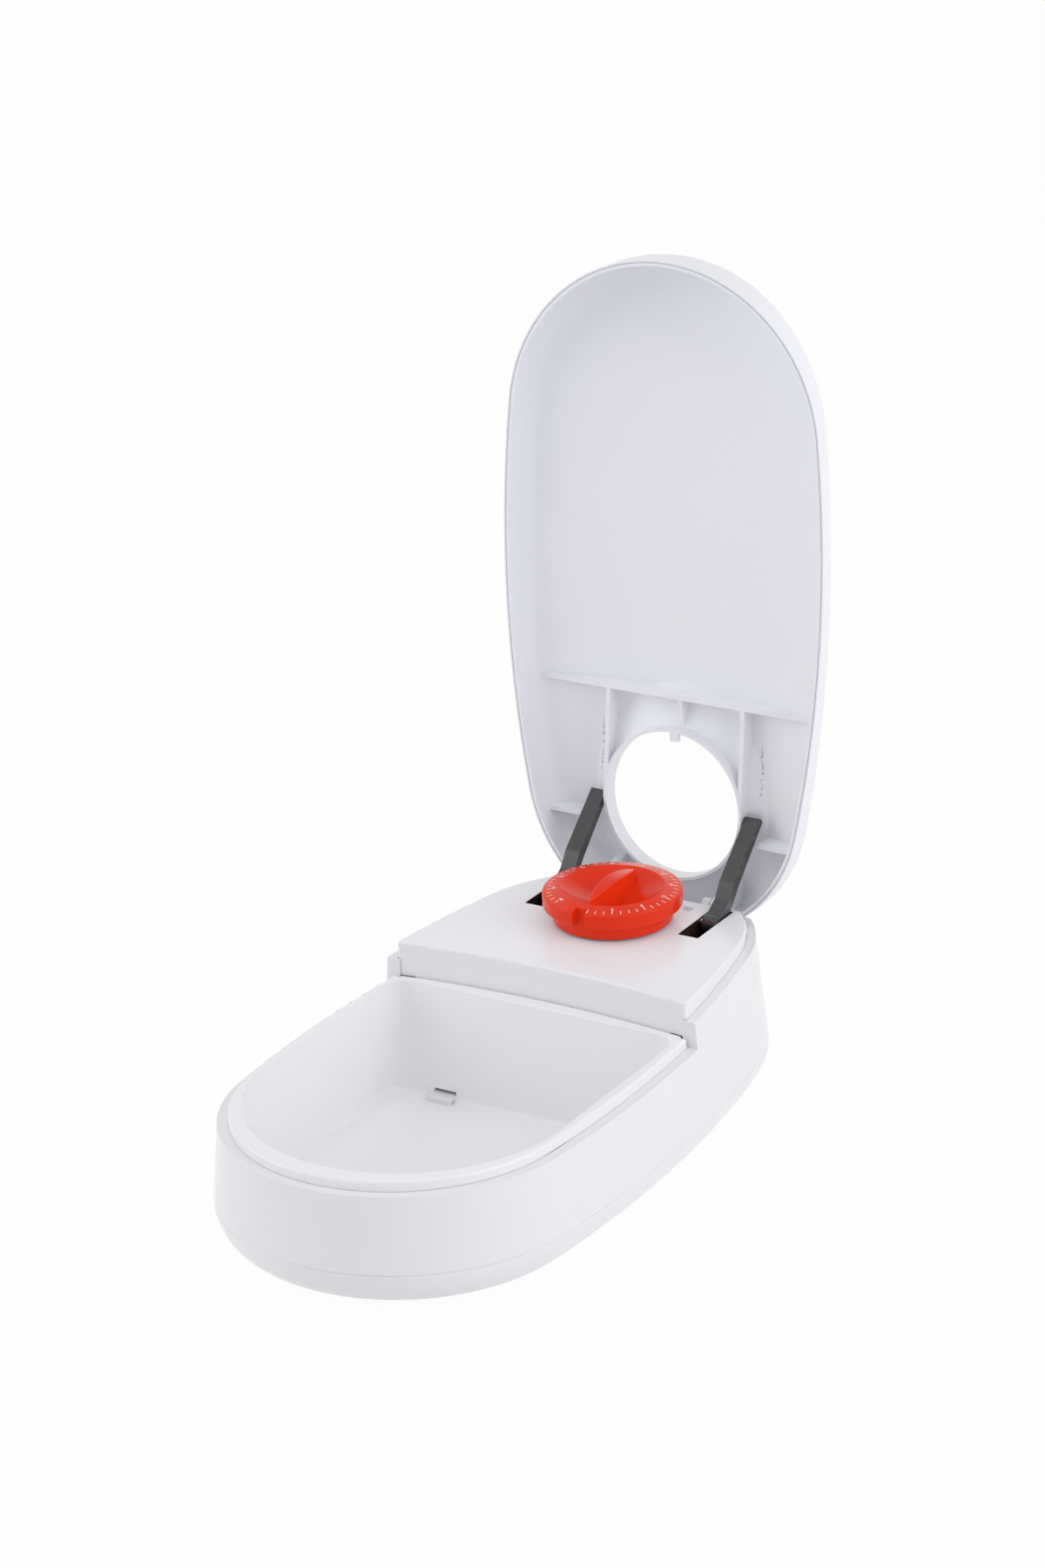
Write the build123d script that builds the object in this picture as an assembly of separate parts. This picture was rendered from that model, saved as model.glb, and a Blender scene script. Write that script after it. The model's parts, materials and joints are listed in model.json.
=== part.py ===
from build123d import *
import os
from math import atan, cos, degrees, pi, radians, sin, sqrt, tan

# Timed pet feeder. Millimetres, +Z up, bowl towards -Y, lid hinge towards +Y.
# The origin is on the floor, on the centre plane, in the middle of the footprint's length.

# Plan outline at the ledge: four tangent arcs
FRONT_ARC_R = 75.0
FRONT_ARC_Y = -63.0
REAR_ARC_R = 67.5
REAR_ARC_Y = 90.5
SIDE_ARC_R = 582.6
REAR_END_Y = REAR_ARC_Y + REAR_ARC_R

# Body walls and heights
WALL = 2.4
WALL_LEAN = 0.1
LEDGE_Z = 50.0
SEAM_Z = 18.0
FOOT_LIFT = 1.0
BULL_NOSE_R = 16.4
STEP_Y = 40.0
STEP_RISE = 11.4
REAR_LEDGE_SLOPE = 0.042
REAR_WALL_Y = 136.0
REAR_CORNER_R = 5.0
SHELF_Z = 40.0
SEAM_CHAMFER = 0.5
TONGUE_HEIGHT = 3.0
TONGUE_WALL = 1.4
FIT_GAP = 0.15

# Deck over the timer
DECK_INSET = 5.4
DECK_TOP_Z = 69.2
DECK_WALL = 2.4
DECK_FRONT_Y = 45.4
DECK_FRONT_R = 492.0
DECK_REAR_Y = 133.4
DECK_EDGE_R = 1.2
DECK_CORNER_R = 1.5
DECK_SKIRT_Z = 54.0
DECK_FRONT_FOOT_Z = 20.0
DECK_LIP_WIDTH = 1.3
DECK_LIP_HEIGHT = 1.8
SLOT_X = 37.5
SLOT_WIDTH = 10.0
SLOT_FRONT_Y = 99.8
SLOT_REAR_Y = 131.0
SOCKET_X = 23.0
SOCKET_Y = 125.0
SOCKET_SIZE = (5.0, 4.0, 1.6)

# Food bowl
BOWL_ARC_INSET = 6.6
BOWL_BACK_INSET = 7.29
BOWL_FRONT_INSET = 12.1
BOWL_BACK_Y = 36.4
BOWL_CORNER_R = 10.0
BOWL_WALL = 2.0
BOWL_RIM_Z = 54.5
BOWL_FLOOR_Z = 7.2
BOWL_SIDE_LEAN = 1.7
BOWL_BACK_LEAN = 8.4
BOWL_FOOT_R = 3.0
BOWL_RIM_INSET = 4.6
BOWL_RIM_THICK = 2.2
BOWL_RIM_R = 1.4
BOWL_DECK_GAP = 0.6
BOWL_STEP_GAP = 1.5
BOWL_BAY_GAP = 0.8
CATCH_X = -41.0
CATCH_WIDTH = 11.0
CATCH_SLOT_HEIGHT = 3.0
CATCH_SLOT_LIFT = 1.0
CATCH_REACH = 5.0

# Timer dial
DIAL_Y = 102.3
DIAL_SKIRT_R = 25.6
DIAL_SKIRT_Z = 70.4
DIAL_RIM_R = 29.9
DIAL_LEDGE_Z = 75.8
DIAL_RIM_FOOT_Z = 76.7
DIAL_RIM_Z = 82.8
DIAL_DISH_R = 22.3
DIAL_DISH_Z = 84.5
DIAL_DISH_FLOOR_Z = 77.4
DIAL_DISH_BOW = (0.55, 0.3)
DIAL_WALL = 2.2
DIAL_EDGE_R = 0.8
DIAL_FIN_LENGTH = 38.6
DIAL_FIN_WIDTH = 7.6
DIAL_FIN_Z = 88.0
DIAL_FIN_END_Z = 84.6
DIAL_FIN_EDGE_R = 0.8
DIAL_NOTCH_WIDTH = 6.0
DIAL_NOTCH_X = 0.5
DIAL_BOSS_R = 5.5
DIAL_SINK = 1.0
SPINDLE_R = 3.0
SPINDLE_FOOT = 2.5
SPINDLE_CLEAR = 0.5
RUNNING_GAP = 0.05

# Timer movement under the deck
TIMER_SIZE = 56.0
TIMER_TOP_Z = 62.0
TIMER_FOOT_Z = 46.0
TIMER_WALL = 1.6
TIMER_CORNER_R = 5.0
TIMER_SCREW_PITCH = 48.0
TIMER_PILLAR_R = 2.75
TIMER_BOSS_R = 3.0
GEAR_MODULE = 0.6
WHEEL_TEETH = 48
PINION_TEETH = 12
PRESSURE_ANGLE = 20.0
GEAR_ADDENDUM = 0.9
GEAR_DEDENDUM = 1.2
GEAR_BACKLASH = 0.16
GEAR_PLAY = 0.10
WHEEL_Z = 54.5
WHEEL_WIDTH = 2.0
PINION_OVERLAP = 0.6
CLIP_THICK = 1.0
CLIP_SPLIT = 2.0
ARBOR_R = 1.2
ARBOR_END_GAP = 0.6
BEARING_HEIGHT = 2.6
BEARING_FLOOR = 0.3
BOARD_SIZE = (42.0, 20.0, 1.2)
BOARD_SETBACK = 15.0
BOARD_LIFT = 2.0
BOARD_PILLAR_R = 1.5
BOARD_PILLAR_INSET = 3.0
COIL_R = 2.8
COIL_LENGTH = 14.0
COIL_SETBACK = 21.6
COIL_FLANGE = (1.6, 0.4)

# Lid, drawn lying closed with its rear end at Y 0 and its rim at Z 0
LID_GROWTH = -0.4
LID_WALL = 2.4
LID_CROWN_Z = 24.4
LID_CROWN_R = 260.0
LID_EDGE_R = 12.0
LID_HOLE_R = 32.8
LID_HOLE_S = 55.44
LID_COLLAR_Z = 9.7
LID_COLLAR_WALL = 1.3
LID_FUNNEL_Z = 17.4
LID_FUNNEL_RISE = 0.365
LID_FUNNEL_R = 66.0
LID_AXIS_S = 16.9
LID_AXIS_Z = -1.36
LID_LEAN = 2.96
MAIN_RIB_S = 104.35
MAIN_RIB_Z = 12.5
RIB_WALL = 2.0
SIDE_RIB_X = 33.0
MIDDLE_RIB_X = 2.1
MIDDLE_RIB_S = 91.0
LOWER_RIB_S = 45.5
LOWER_RIB_Z = 7.9
LOWER_RIB_X = 43.0
TAB_X = 1.0
TAB_WIDTH = 4.0
TAB_R = 28.9
TAB_THICK = 2.4
RIM_GROOVE_INSET = 0.6
RIM_GROOVE_WIDTH = 0.6
RIM_GROOVE_DEPTH = 0.7

# Lid hinge
HINGE_Y = 141.07
HINGE_Z = 64.32
LUG_X = 28.6
LUG_WIDTH = 4.0
LUG_SIDE_GAP = 0.5
LUG_WALL = 3.6
LUG_R = 3.8
HINGE_PIN_R = 1.5
STOP_X = 12.0
STOP_WIDTH = 4.0
STOP_Z = (46.0, 52.5)
STOP_GAP = 0.4

# Opening arms
ARM_X = 38.15
ARM_WIDTH = 7.1
ARM_PIVOT_Y = 120.4
ARM_PIVOT_Z = 67.0
ARM_EYE_R = 3.6
ARM_PIN_R = 1.5
ARM_KINK = (133.5, 81.4)
ARM_BEND = (128.8, 74.6)
ARM_TIP = (157.3, 102.3)
ARM_TIP_THICK = 3.2
ARM_THICK = 4.2
ARM_KINK_THICK = 4.8
ARM_TIP_R = 1.0
EAR_WALL = 3.0
SPRING_Y = 108.0
SPRING_Z = 57.0
SPRING_WIRE_R = 0.5
SPRING_R = 3.1
SPRING_PITCH = 1.5
SPRING_TURNS = 3
SPRING_POST_R = 2.2
LEG_WIRE_R = 0.45
LEG_AIM = radians(75.0)
LEG_GAP = 0.4
BRACE_REACH = 7.0
BRACE_PEG_R = 1.0

# Battery, contacts and door
CELL_R = 7.25
CELL_LENGTH = 50.5
CELL_NUB_R = 2.75
CELL_NUB_LENGTH = 1.2
CELL_EDGE_R = 0.5
CELL_Y = 70.5
CELL_Z = 10.4
BAY_WALL = 1.6
BAY_CLEAR = 0.8
CONTACT_THICK = 0.6
CONTACT_SIZE = 11.6
CONTACT_CORNER_R = 1.5
CONTACT_TURNS = 3
CONTACT_SPRING_LENGTH = 4.6
CONTACT_WIRE_R = 0.4
CONTACT_COIL_R = 3.6
DOOR_THICK = 1.4
DOOR_GAP = 0.2
DOOR_MARGIN = 5.0
DOOR_TRAVEL = 8.0
DOOR_HOOK_SIZE = (1.8, 3.0)
DOOR_HOOK_FOOT = 1.3
DOOR_HOOK_Y = 7.0
DOOR_HOOK_THICK = 1.2
DOOR_CORNER_R = 1.0
GRIP_COUNT = 4
GRIP_PITCH = 1.6
GRIP_SIZE = (18.0, 0.8, 0.5)
GRIP_INSET = 2.0
PAD_THICK = 1.8

# Screws and feet
SCREW_R = 1.25
SCREW_HEAD_R = 2.8
SCREW_HEAD_HEIGHT = 1.8
SCREW_HEAD_EDGE_R = 0.6
SCREW_SLOT = (0.6, 0.6)
SCREW_SPOTS = [(-54.0, 60.0), (54.0, 60.0), (-50.0, 98.0), (50.0, 98.0)]
POST_R = 4.6
BOSS_R = 3.6
POST_TOP_Z = 14.0
SCREW_GRIP = 10.0
FOOT_R = 6.0
FOOT_HEIGHT = 2.2
FOOT_SPOTS = [(-38.0, -92.0), (38.0, -92.0), (0.0, 0.0), (-34.0, 114.0), (34.0, 114.0)]

# Reach of cutting blocks, and how far a cut runs past a face
FAR = 400.0
PAST = 1.0
LEAST_LINE = 0.01
LEAN_ANGLE = degrees(atan(WALL_LEAN))
FLOOR_TOP_Z = FOOT_LIFT + WALL


def side_centre():
    """Distance and height of the side arc's centre, from the tangent arcs."""
    front_reach = SIDE_ARC_R - FRONT_ARC_R
    rear_reach = SIDE_ARC_R - REAR_ARC_R
    spread = FRONT_ARC_Y**2 - REAR_ARC_Y**2
    y = (front_reach**2 - rear_reach**2 - spread) / (2 * (REAR_ARC_Y - FRONT_ARC_Y))
    x = sqrt(front_reach**2 - (y - FRONT_ARC_Y) ** 2)
    return x, y


def bowl_reach():
    """Half width of the bowl: what the front arc and the side at its back both leave room for."""
    centre_x, centre_y = side_centre()
    side_x = sqrt(SIDE_ARC_R**2 - (BOWL_BACK_Y - centre_y) ** 2) - centre_x
    return min(FRONT_ARC_R - BOWL_ARC_INSET, side_x - BOWL_BACK_INSET)


BOWL_R = bowl_reach()
BOWL_ARC_Y = FRONT_ARC_Y - FRONT_ARC_R + BOWL_FRONT_INSET + BOWL_R


def outline(growth, z):
    """Plan outline of the feeder, grown outward, as a face at height z."""
    centre_x, centre_y = side_centre()
    front_r = FRONT_ARC_R + growth
    rear_r = REAR_ARC_R + growth
    front_reach = SIDE_ARC_R - FRONT_ARC_R
    rear_reach = SIDE_ARC_R - REAR_ARC_R
    front_x = centre_x / front_reach * front_r
    front_y = FRONT_ARC_Y + (FRONT_ARC_Y - centre_y) / front_reach * front_r
    rear_x = centre_x / rear_reach * rear_r
    rear_y = REAR_ARC_Y + (REAR_ARC_Y - centre_y) / rear_reach * rear_r
    side_x = SIDE_ARC_R + growth - centre_x
    edges = [
        ThreePointArc((front_x, front_y), (side_x, centre_y), (rear_x, rear_y)),
        ThreePointArc((rear_x, rear_y), (0, REAR_ARC_Y + rear_r), (-rear_x, rear_y)),
        ThreePointArc((-rear_x, rear_y), (-side_x, centre_y), (-front_x, front_y)),
        ThreePointArc((-front_x, front_y), (0, FRONT_ARC_Y - front_r), (front_x, front_y)),
    ]
    return Pos(0, 0, z) * make_face(edges)


def upright(growth, z_low, z_high):
    """Straight-sided block of the plan outline."""
    return extrude(outline(growth, z_low), amount=z_high - z_low)


def wall_growth(z):
    """How far the leaning wall stands outside the plan outline at height z."""
    return (LEDGE_Z - z) * WALL_LEAN


def leaning(inset, z_low, z_high):
    """Block that follows the body's leaning wall, inset from its outside."""
    base = outline(wall_growth(z_low) - inset, z_low)
    return extrude(base, amount=z_high - z_low, taper=LEAN_ANGLE)


def block(x_range, y_range, z_range):
    """Box between three pairs of limits."""
    size = [high - low for low, high in (x_range, y_range, z_range)]
    middle = [(high + low) / 2 for low, high in (x_range, y_range, z_range)]
    return Pos(*middle) * Box(*size)


def post(x, y, z_low, z_high, radius):
    """Upright cylinder."""
    return Pos(x, y, (z_low + z_high) / 2) * Cylinder(radius, z_high - z_low)


def rod(y, z, x_low, x_high, radius):
    """Cylinder lying along X."""
    return Pos((x_low + x_high) / 2, y, z) * Rot(0, 90, 0) * Cylinder(radius, x_high - x_low)


def side_cut(points, x_low, x_high):
    """Prism across X of a closed outline given as (y, z) points."""
    face = make_face(Polyline(*points, close=True))
    standing = Plane(origin=(x_low, 0, 0), x_dir=(0, 1, 0), z_dir=(1, 0, 0)).location * face
    return extrude(standing, amount=x_high - x_low, dir=(1, 0, 0))


def both_sides(shape):
    """The shape and its mirror image across the centre plane."""
    return [shape, mirror(shape, about=Plane.YZ)]


def rear_ledge(y):
    """Height of the sloping rear ledge at a distance y."""
    return LEDGE_Z + STEP_RISE + REAR_LEDGE_SLOPE * (y - STEP_Y)


def above_ledges(drop, back):
    """Everything above the stepped ledges, lowered by drop and stepped back."""
    step = STEP_Y + back
    points = [
        (-FAR, LEDGE_Z - drop),
        (step, LEDGE_Z - drop),
        (step, rear_ledge(step) - drop),
        (FAR, rear_ledge(FAR) - drop),
        (FAR, FAR),
        (-FAR, FAR),
    ]
    return side_cut(points, -FAR, FAR)


def body_form(inset, foot_z):
    """Outer form of the shell, or its hollow when inset by the wall."""
    top_z = rear_ledge(REAR_END_Y) + WALL
    form = leaning(inset, foot_z, top_z)
    form -= above_ledges(inset, inset)
    form -= block((-FAR, FAR), (REAR_WALL_Y - inset, FAR), (SHELF_Z - inset, FAR))
    corners = form.edges().filter_by(
        lambda e: abs(e.center().Y - REAR_WALL_Y + inset) < RUNNING_GAP
        and abs(e.center().X) > STOP_X
        and e.center().Z > SHELF_Z
    )
    return fillet(corners, REAR_CORNER_R - inset)


def tub_outline(growth, side_lean, back_lean, z):
    """D-shaped outline of the food bowl as a face at height z."""
    r = BOWL_R + growth - side_lean
    back = BOWL_BACK_Y + growth - back_lean
    corner = BOWL_CORNER_R + growth
    bend = corner * (1 - cos(pi / 4))
    edges = [
        ThreePointArc((-r, BOWL_ARC_Y), (0, BOWL_ARC_Y - r), (r, BOWL_ARC_Y)),
        Line((r, BOWL_ARC_Y), (r, back - corner)),
        ThreePointArc((r, back - corner), (r - bend, back - bend), (r - corner, back)),
        Line((r - corner, back), (corner - r, back)),
        ThreePointArc((corner - r, back), (bend - r, back - bend), (-r, back - corner)),
        Line((-r, back - corner), (-r, BOWL_ARC_Y)),
    ]
    return Pos(0, 0, z) * make_face(edges)


def deck_plan(growth, z_low, z_high):
    """Block of the deck's plan, with its hollow front edge, grown outward."""
    reach = FRONT_ARC_R + REAR_ARC_R
    sag = DECK_FRONT_R - sqrt(DECK_FRONT_R**2 - reach**2)
    front = DECK_FRONT_Y - growth
    rear = DECK_REAR_Y + growth
    edges = [
        ThreePointArc((-reach, front - sag), (0, front), (reach, front - sag)),
        Line((reach, front - sag), (reach, rear)),
        Line((reach, rear), (-reach, rear)),
        Line((-reach, rear), (-reach, front - sag)),
    ]
    window = extrude(Pos(0, 0, z_low) * make_face(edges), amount=z_high - z_low)
    return upright(growth - DECK_INSET, z_low, z_high) & window


def outer_shell():
    """Side wall with the front ledge, the raised rear ledge and the hinge lugs."""
    shell = body_form(0, SEAM_Z) - body_form(WALL, SEAM_Z - PAST)
    bay = extrude(tub_outline(BOWL_WALL + BOWL_BAY_GAP, 0, 0, LEDGE_Z - 2 * WALL), amount=3 * WALL)
    shell -= bay
    shell -= deck_plan(FIT_GAP, LEDGE_Z - 2 * WALL, FAR)
    shell -= block(
        (-BOWL_R, BOWL_R),
        (BOWL_BACK_Y - BOWL_CORNER_R, DECK_FRONT_Y + WALL),
        (LEDGE_Z - 2 * WALL, FAR),
    )
    reach = LUG_WIDTH / 2 + LUG_SIDE_GAP
    for lug_x in (LUG_X - reach - LUG_WALL, LUG_X + reach):
        points = [
            (REAR_WALL_Y - WALL / 2, HINGE_Z - 3 * LUG_R),
            (HINGE_Y + LUG_R * cos(pi / 4), HINGE_Z - LUG_R * sin(pi / 4)),
            (HINGE_Y - LUG_R * cos(pi / 4), HINGE_Z + LUG_R * sin(pi / 4)),
            (REAR_WALL_Y - WALL / 2, rear_ledge(REAR_WALL_Y) - WALL / 2),
        ]
        lug = side_cut(points, lug_x, lug_x + LUG_WALL)
        lug += rod(HINGE_Y, HINGE_Z, lug_x, lug_x + LUG_WALL, LUG_R)
        lug -= rod(HINGE_Y, HINGE_Z, lug_x, lug_x + LUG_WALL, HINGE_PIN_R)
        shell += both_sides(lug)
    rim_y = HINGE_Y - LID_AXIS_Z
    stop = block(
        (STOP_X - STOP_WIDTH / 2, STOP_X + STOP_WIDTH / 2),
        (REAR_WALL_Y - WALL / 2, rim_y - STOP_GAP - LID_AXIS_S * sin(radians(LID_LEAN))),
        STOP_Z,
    )
    shell += both_sides(stop)
    return shell


def bay_limits(growth):
    """Inner limits of the battery bay, grown outward."""
    x_low = -CELL_LENGTH / 2 - CONTACT_SPRING_LENGTH - CONTACT_THICK - growth
    x_high = CELL_LENGTH / 2 + CONTACT_THICK + growth
    y_low = CELL_Y - CELL_R - BAY_CLEAR - growth
    y_high = CELL_Y + CELL_R + BAY_CLEAR + growth
    return (x_low, x_high), (y_low, y_high)


def door_limits(gap):
    """Limits of the battery door in plan, pulled in by gap."""
    (x_low, x_high), (y_low, y_high) = bay_limits(BAY_WALL)
    x_range = (x_low - DOOR_MARGIN + gap, x_high + DOOR_MARGIN - gap)
    y_range = (y_low - DOOR_MARGIN / 2 + gap, y_high + DOOR_MARGIN / 2 - gap)
    return x_range, y_range


def hook_spots():
    """Centres of the battery door's hooks."""
    x_range, _ = door_limits(0)
    inset = DOOR_MARGIN / 2
    spots = []
    for x in (x_range[0] + inset, x_range[1] - inset):
        for y in (CELL_Y - DOOR_HOOK_Y, CELL_Y + DOOR_HOOK_Y - DOOR_HOOK_SIZE[1]):
            spots.append((x, y))
    return spots


def bottom_tray():
    """Bull-nosed tray with the battery bay, screw posts and foot recesses."""
    outer = upright(wall_growth(SEAM_Z), FOOT_LIFT, SEAM_Z)
    outer = fillet(outer.faces().sort_by(Axis.Z)[0].edges(), BULL_NOSE_R)
    outer = chamfer(outer.faces().sort_by(Axis.Z)[-1].edges(), SEAM_CHAMFER)
    hollow = upright(wall_growth(SEAM_Z) - WALL, FLOOR_TOP_Z, SEAM_Z + PAST)
    hollow = fillet(hollow.faces().sort_by(Axis.Z)[0].edges(), BULL_NOSE_R - WALL)
    tray = outer - hollow
    tongue_growth = wall_growth(SEAM_Z + TONGUE_HEIGHT) - WALL - FIT_GAP
    tongue = upright(tongue_growth, SEAM_Z - TONGUE_HEIGHT, SEAM_Z + TONGUE_HEIGHT)
    tongue += upright(wall_growth(SEAM_Z) - WALL + FIT_GAP, SEAM_Z - TONGUE_HEIGHT, SEAM_Z - FIT_GAP)
    tongue -= upright(tongue_growth - TONGUE_WALL, 0, SEAM_Z + 2 * TONGUE_HEIGHT)
    tray += tongue

    door_x, door_y = door_limits(0)
    recess_top = FOOT_LIFT + DOOR_THICK + FIT_GAP
    pad_top = recess_top + PAD_THICK
    bay_x, bay_y = bay_limits(0)
    wall_x, wall_y = bay_limits(BAY_WALL)
    roof_z = CELL_Z + CELL_R + BAY_CLEAR
    tray += block(
        (door_x[0] - WALL, door_x[1] + WALL),
        (door_y[0] - WALL, door_y[1] + DOOR_TRAVEL + WALL),
        (FLOOR_TOP_Z - WALL / 2, pad_top),
    )
    tray += block(wall_x, wall_y, (FLOOR_TOP_Z - WALL / 2, roof_z + BAY_WALL))
    tray -= block(bay_x, bay_y, (-FAR, roof_z))
    tray -= block(door_x, (door_y[0], door_y[1] + DOOR_TRAVEL), (-FAR, recess_top))
    stem_x, stem_y = DOOR_HOOK_SIZE
    foot_x = stem_x + 2 * DOOR_HOOK_FOOT
    for x, y in hook_spots():
        tray -= block(
            (x - stem_x / 2 - DOOR_GAP, x + stem_x / 2 + DOOR_GAP),
            (y - DOOR_GAP, y + stem_y + DOOR_TRAVEL + DOOR_GAP),
            (-FAR, pad_top),
        )
        tray -= block(
            (x - foot_x / 2 - DOOR_GAP, x + foot_x / 2 + DOOR_GAP),
            (y + DOOR_TRAVEL - DOOR_GAP, y + stem_y + DOOR_TRAVEL + DOOR_GAP),
            (-FAR, pad_top),
        )
    for x, y in SCREW_SPOTS:
        tray += post(x, y, FLOOR_TOP_Z - WALL / 2, POST_TOP_Z, POST_R)
        tray -= post(x, y, 0, POST_TOP_Z + PAST, SCREW_R + FIT_GAP)
        tray -= post(x, y, 0, FOOT_LIFT + SCREW_HEAD_HEIGHT + FIT_GAP, SCREW_HEAD_R + FIT_GAP)
    for x, y in FOOT_SPOTS:
        tray -= post(x, y, 0, FOOT_HEIGHT, FOOT_R)
    return tray


def rubber_feet():
    """Glued pads that the feeder stands on; the middle one keeps the long tray from flexing."""
    feet = []
    for x, y in FOOT_SPOTS:
        foot = post(x, y, 0, FOOT_HEIGHT, FOOT_R)
        feet.append(fillet(foot.edges().sort_by(Axis.Z)[0], FOOT_LIFT / 2))
    return Compound(children=feet)


def screw(x, y, head_z, tip_z):
    """Pan-head screw driven upward, with a slot across its head."""
    body = post(x, y, head_z, head_z + SCREW_HEAD_HEIGHT, SCREW_HEAD_R)
    body = fillet(body.edges().sort_by(Axis.Z)[0], SCREW_HEAD_EDGE_R)
    body += post(x, y, head_z + SCREW_HEAD_HEIGHT / 2, tip_z, SCREW_R)
    width, depth = SCREW_SLOT
    body -= block(
        (x - SCREW_HEAD_R, x + SCREW_HEAD_R),
        (y - width / 2, y + width / 2),
        (head_z - PAST, head_z + depth),
    )
    return body


def housing_screws():
    """Screws that hold the tray to the deck's bosses."""
    screws = [screw(x, y, FOOT_LIFT + FIT_GAP, POST_TOP_Z + SCREW_GRIP) for x, y in SCREW_SPOTS]
    return Compound(children=screws)


def deck_housing():
    """Deck with its skirt, front wall, screw bosses, arm slots and pivot ears."""
    deck = deck_plan(0, DECK_SKIRT_Z, DECK_TOP_Z)
    upright_edges = deck.edges().filter_by(Axis.Z)
    deck = fillet(upright_edges, DECK_CORNER_R)
    deck = fillet(deck.faces().sort_by(Axis.Z)[-1].edges(), DECK_EDGE_R)
    deck -= deck_plan(-DECK_WALL, DECK_SKIRT_Z - PAST, DECK_TOP_Z - DECK_WALL)
    ring = deck_plan(0, DECK_FRONT_FOOT_Z, DECK_SKIRT_Z)
    ring -= deck_plan(-DECK_WALL, DECK_FRONT_FOOT_Z - PAST, DECK_SKIRT_Z + PAST)
    half_front = FRONT_ARC_R - 2 * DECK_INSET - WALL
    ring &= block((-half_front, half_front), (0, DECK_FRONT_Y + DECK_WALL), (0, FAR))
    deck += ring
    lip = deck_plan(DECK_LIP_WIDTH, DECK_SKIRT_Z, DECK_TOP_Z) - deck_plan(-DECK_WALL / 2, 0, FAR)
    lip_front = DECK_FRONT_Y + DECK_CORNER_R
    lip_rear = DECK_REAR_Y - 2 * REAR_CORNER_R
    low = WALL + DECK_LIP_HEIGHT
    high = WALL + RUNNING_GAP
    lip &= side_cut(
        [
            (lip_front, rear_ledge(lip_front) - low),
            (lip_rear, rear_ledge(lip_rear) - low),
            (lip_rear, rear_ledge(lip_rear) - high),
            (lip_front, rear_ledge(lip_front) - high),
        ],
        -FAR,
        FAR,
    )
    deck += lip

    underside = DECK_TOP_Z - DECK_WALL
    for x, y in SCREW_SPOTS:
        deck += post(x, y, POST_TOP_Z, underside + WALL / 2, BOSS_R)
        deck -= post(x, y, POST_TOP_Z - PAST, POST_TOP_Z + SCREW_GRIP + PAST, SCREW_R)
    half_pitch = TIMER_SCREW_PITCH / 2
    for x in (-half_pitch, half_pitch):
        for y in (DIAL_Y - half_pitch, DIAL_Y + half_pitch):
            deck += post(x, y, TIMER_TOP_Z, underside + WALL / 2, TIMER_BOSS_R)
            deck -= post(x, y, TIMER_TOP_Z - PAST, underside - FIT_GAP, SCREW_R)
    deck += post(0, DIAL_Y, TIMER_TOP_Z + WALL / 2, underside + WALL / 2, SPINDLE_R + 2 * WALL)

    ear_inner = SLOT_X - SLOT_WIDTH / 2
    ear_outer = SLOT_X + SLOT_WIDTH / 2
    ear_rear = ARM_PIVOT_Y + ARM_EYE_R
    spring_front = SPRING_Y - 2 * SPRING_R
    for x_low, front in ((ear_inner - EAR_WALL, spring_front), (ear_outer, ARM_PIVOT_Y - ARM_EYE_R)):
        ear_low = SPRING_Z - 3 * SPRING_R if x_low < SLOT_X else ARM_PIVOT_Z - 2 * ARM_EYE_R
        ear = block((x_low, x_low + EAR_WALL), (front, ear_rear), (ear_low, underside + WALL / 2))
        deck += both_sides(ear)
    spring_end = ear_inner + SPRING_PITCH * (SPRING_TURNS + 2)
    deck += both_sides(rod(SPRING_Y, SPRING_Z, ear_inner - EAR_WALL / 2, spring_end, SPRING_POST_R))
    turn = radians(spring_turn()[0])
    offset = SPRING_R + SPRING_WIRE_R + RUNNING_GAP + BRACE_PEG_R
    peg_y = SPRING_Y + offset * sin(turn) - (BRACE_REACH - 2 * BRACE_PEG_R) * cos(turn)
    peg_z = SPRING_Z - offset * cos(turn) - (BRACE_REACH - 2 * BRACE_PEG_R) * sin(turn)
    peg_end = ear_inner + 2 * SPRING_PITCH
    deck += both_sides(rod(peg_y, peg_z, ear_inner - EAR_WALL / 2, peg_end, BRACE_PEG_R))
    slot = block((ear_inner, ear_outer), (SLOT_FRONT_Y, SLOT_REAR_Y), (underside - PAST, FAR))
    deck -= both_sides(slot)
    pin = rod(ARM_PIVOT_Y, ARM_PIVOT_Z, ear_inner - EAR_WALL, ear_outer + EAR_WALL, ARM_PIN_R)
    deck -= both_sides(pin)
    deck -= post(0, DIAL_Y, 0, FAR, SPINDLE_R + WALL / 2)
    length, width, depth = SOCKET_SIZE
    deck -= block(
        (SOCKET_X - length / 2, SOCKET_X + length / 2),
        (SOCKET_Y - width / 2, SOCKET_Y + width / 2),
        (DECK_TOP_Z - depth, FAR),
    )
    return deck


def arm_pivot_pins():
    """Steel pins that the opening arms turn on."""
    ear_inner = SLOT_X - SLOT_WIDTH / 2 - EAR_WALL
    ear_outer = SLOT_X + SLOT_WIDTH / 2 + EAR_WALL
    pin = rod(ARM_PIVOT_Y, ARM_PIVOT_Z, ear_inner, ear_outer, ARM_PIN_R)
    return Compound(children=both_sides(pin))


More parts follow.
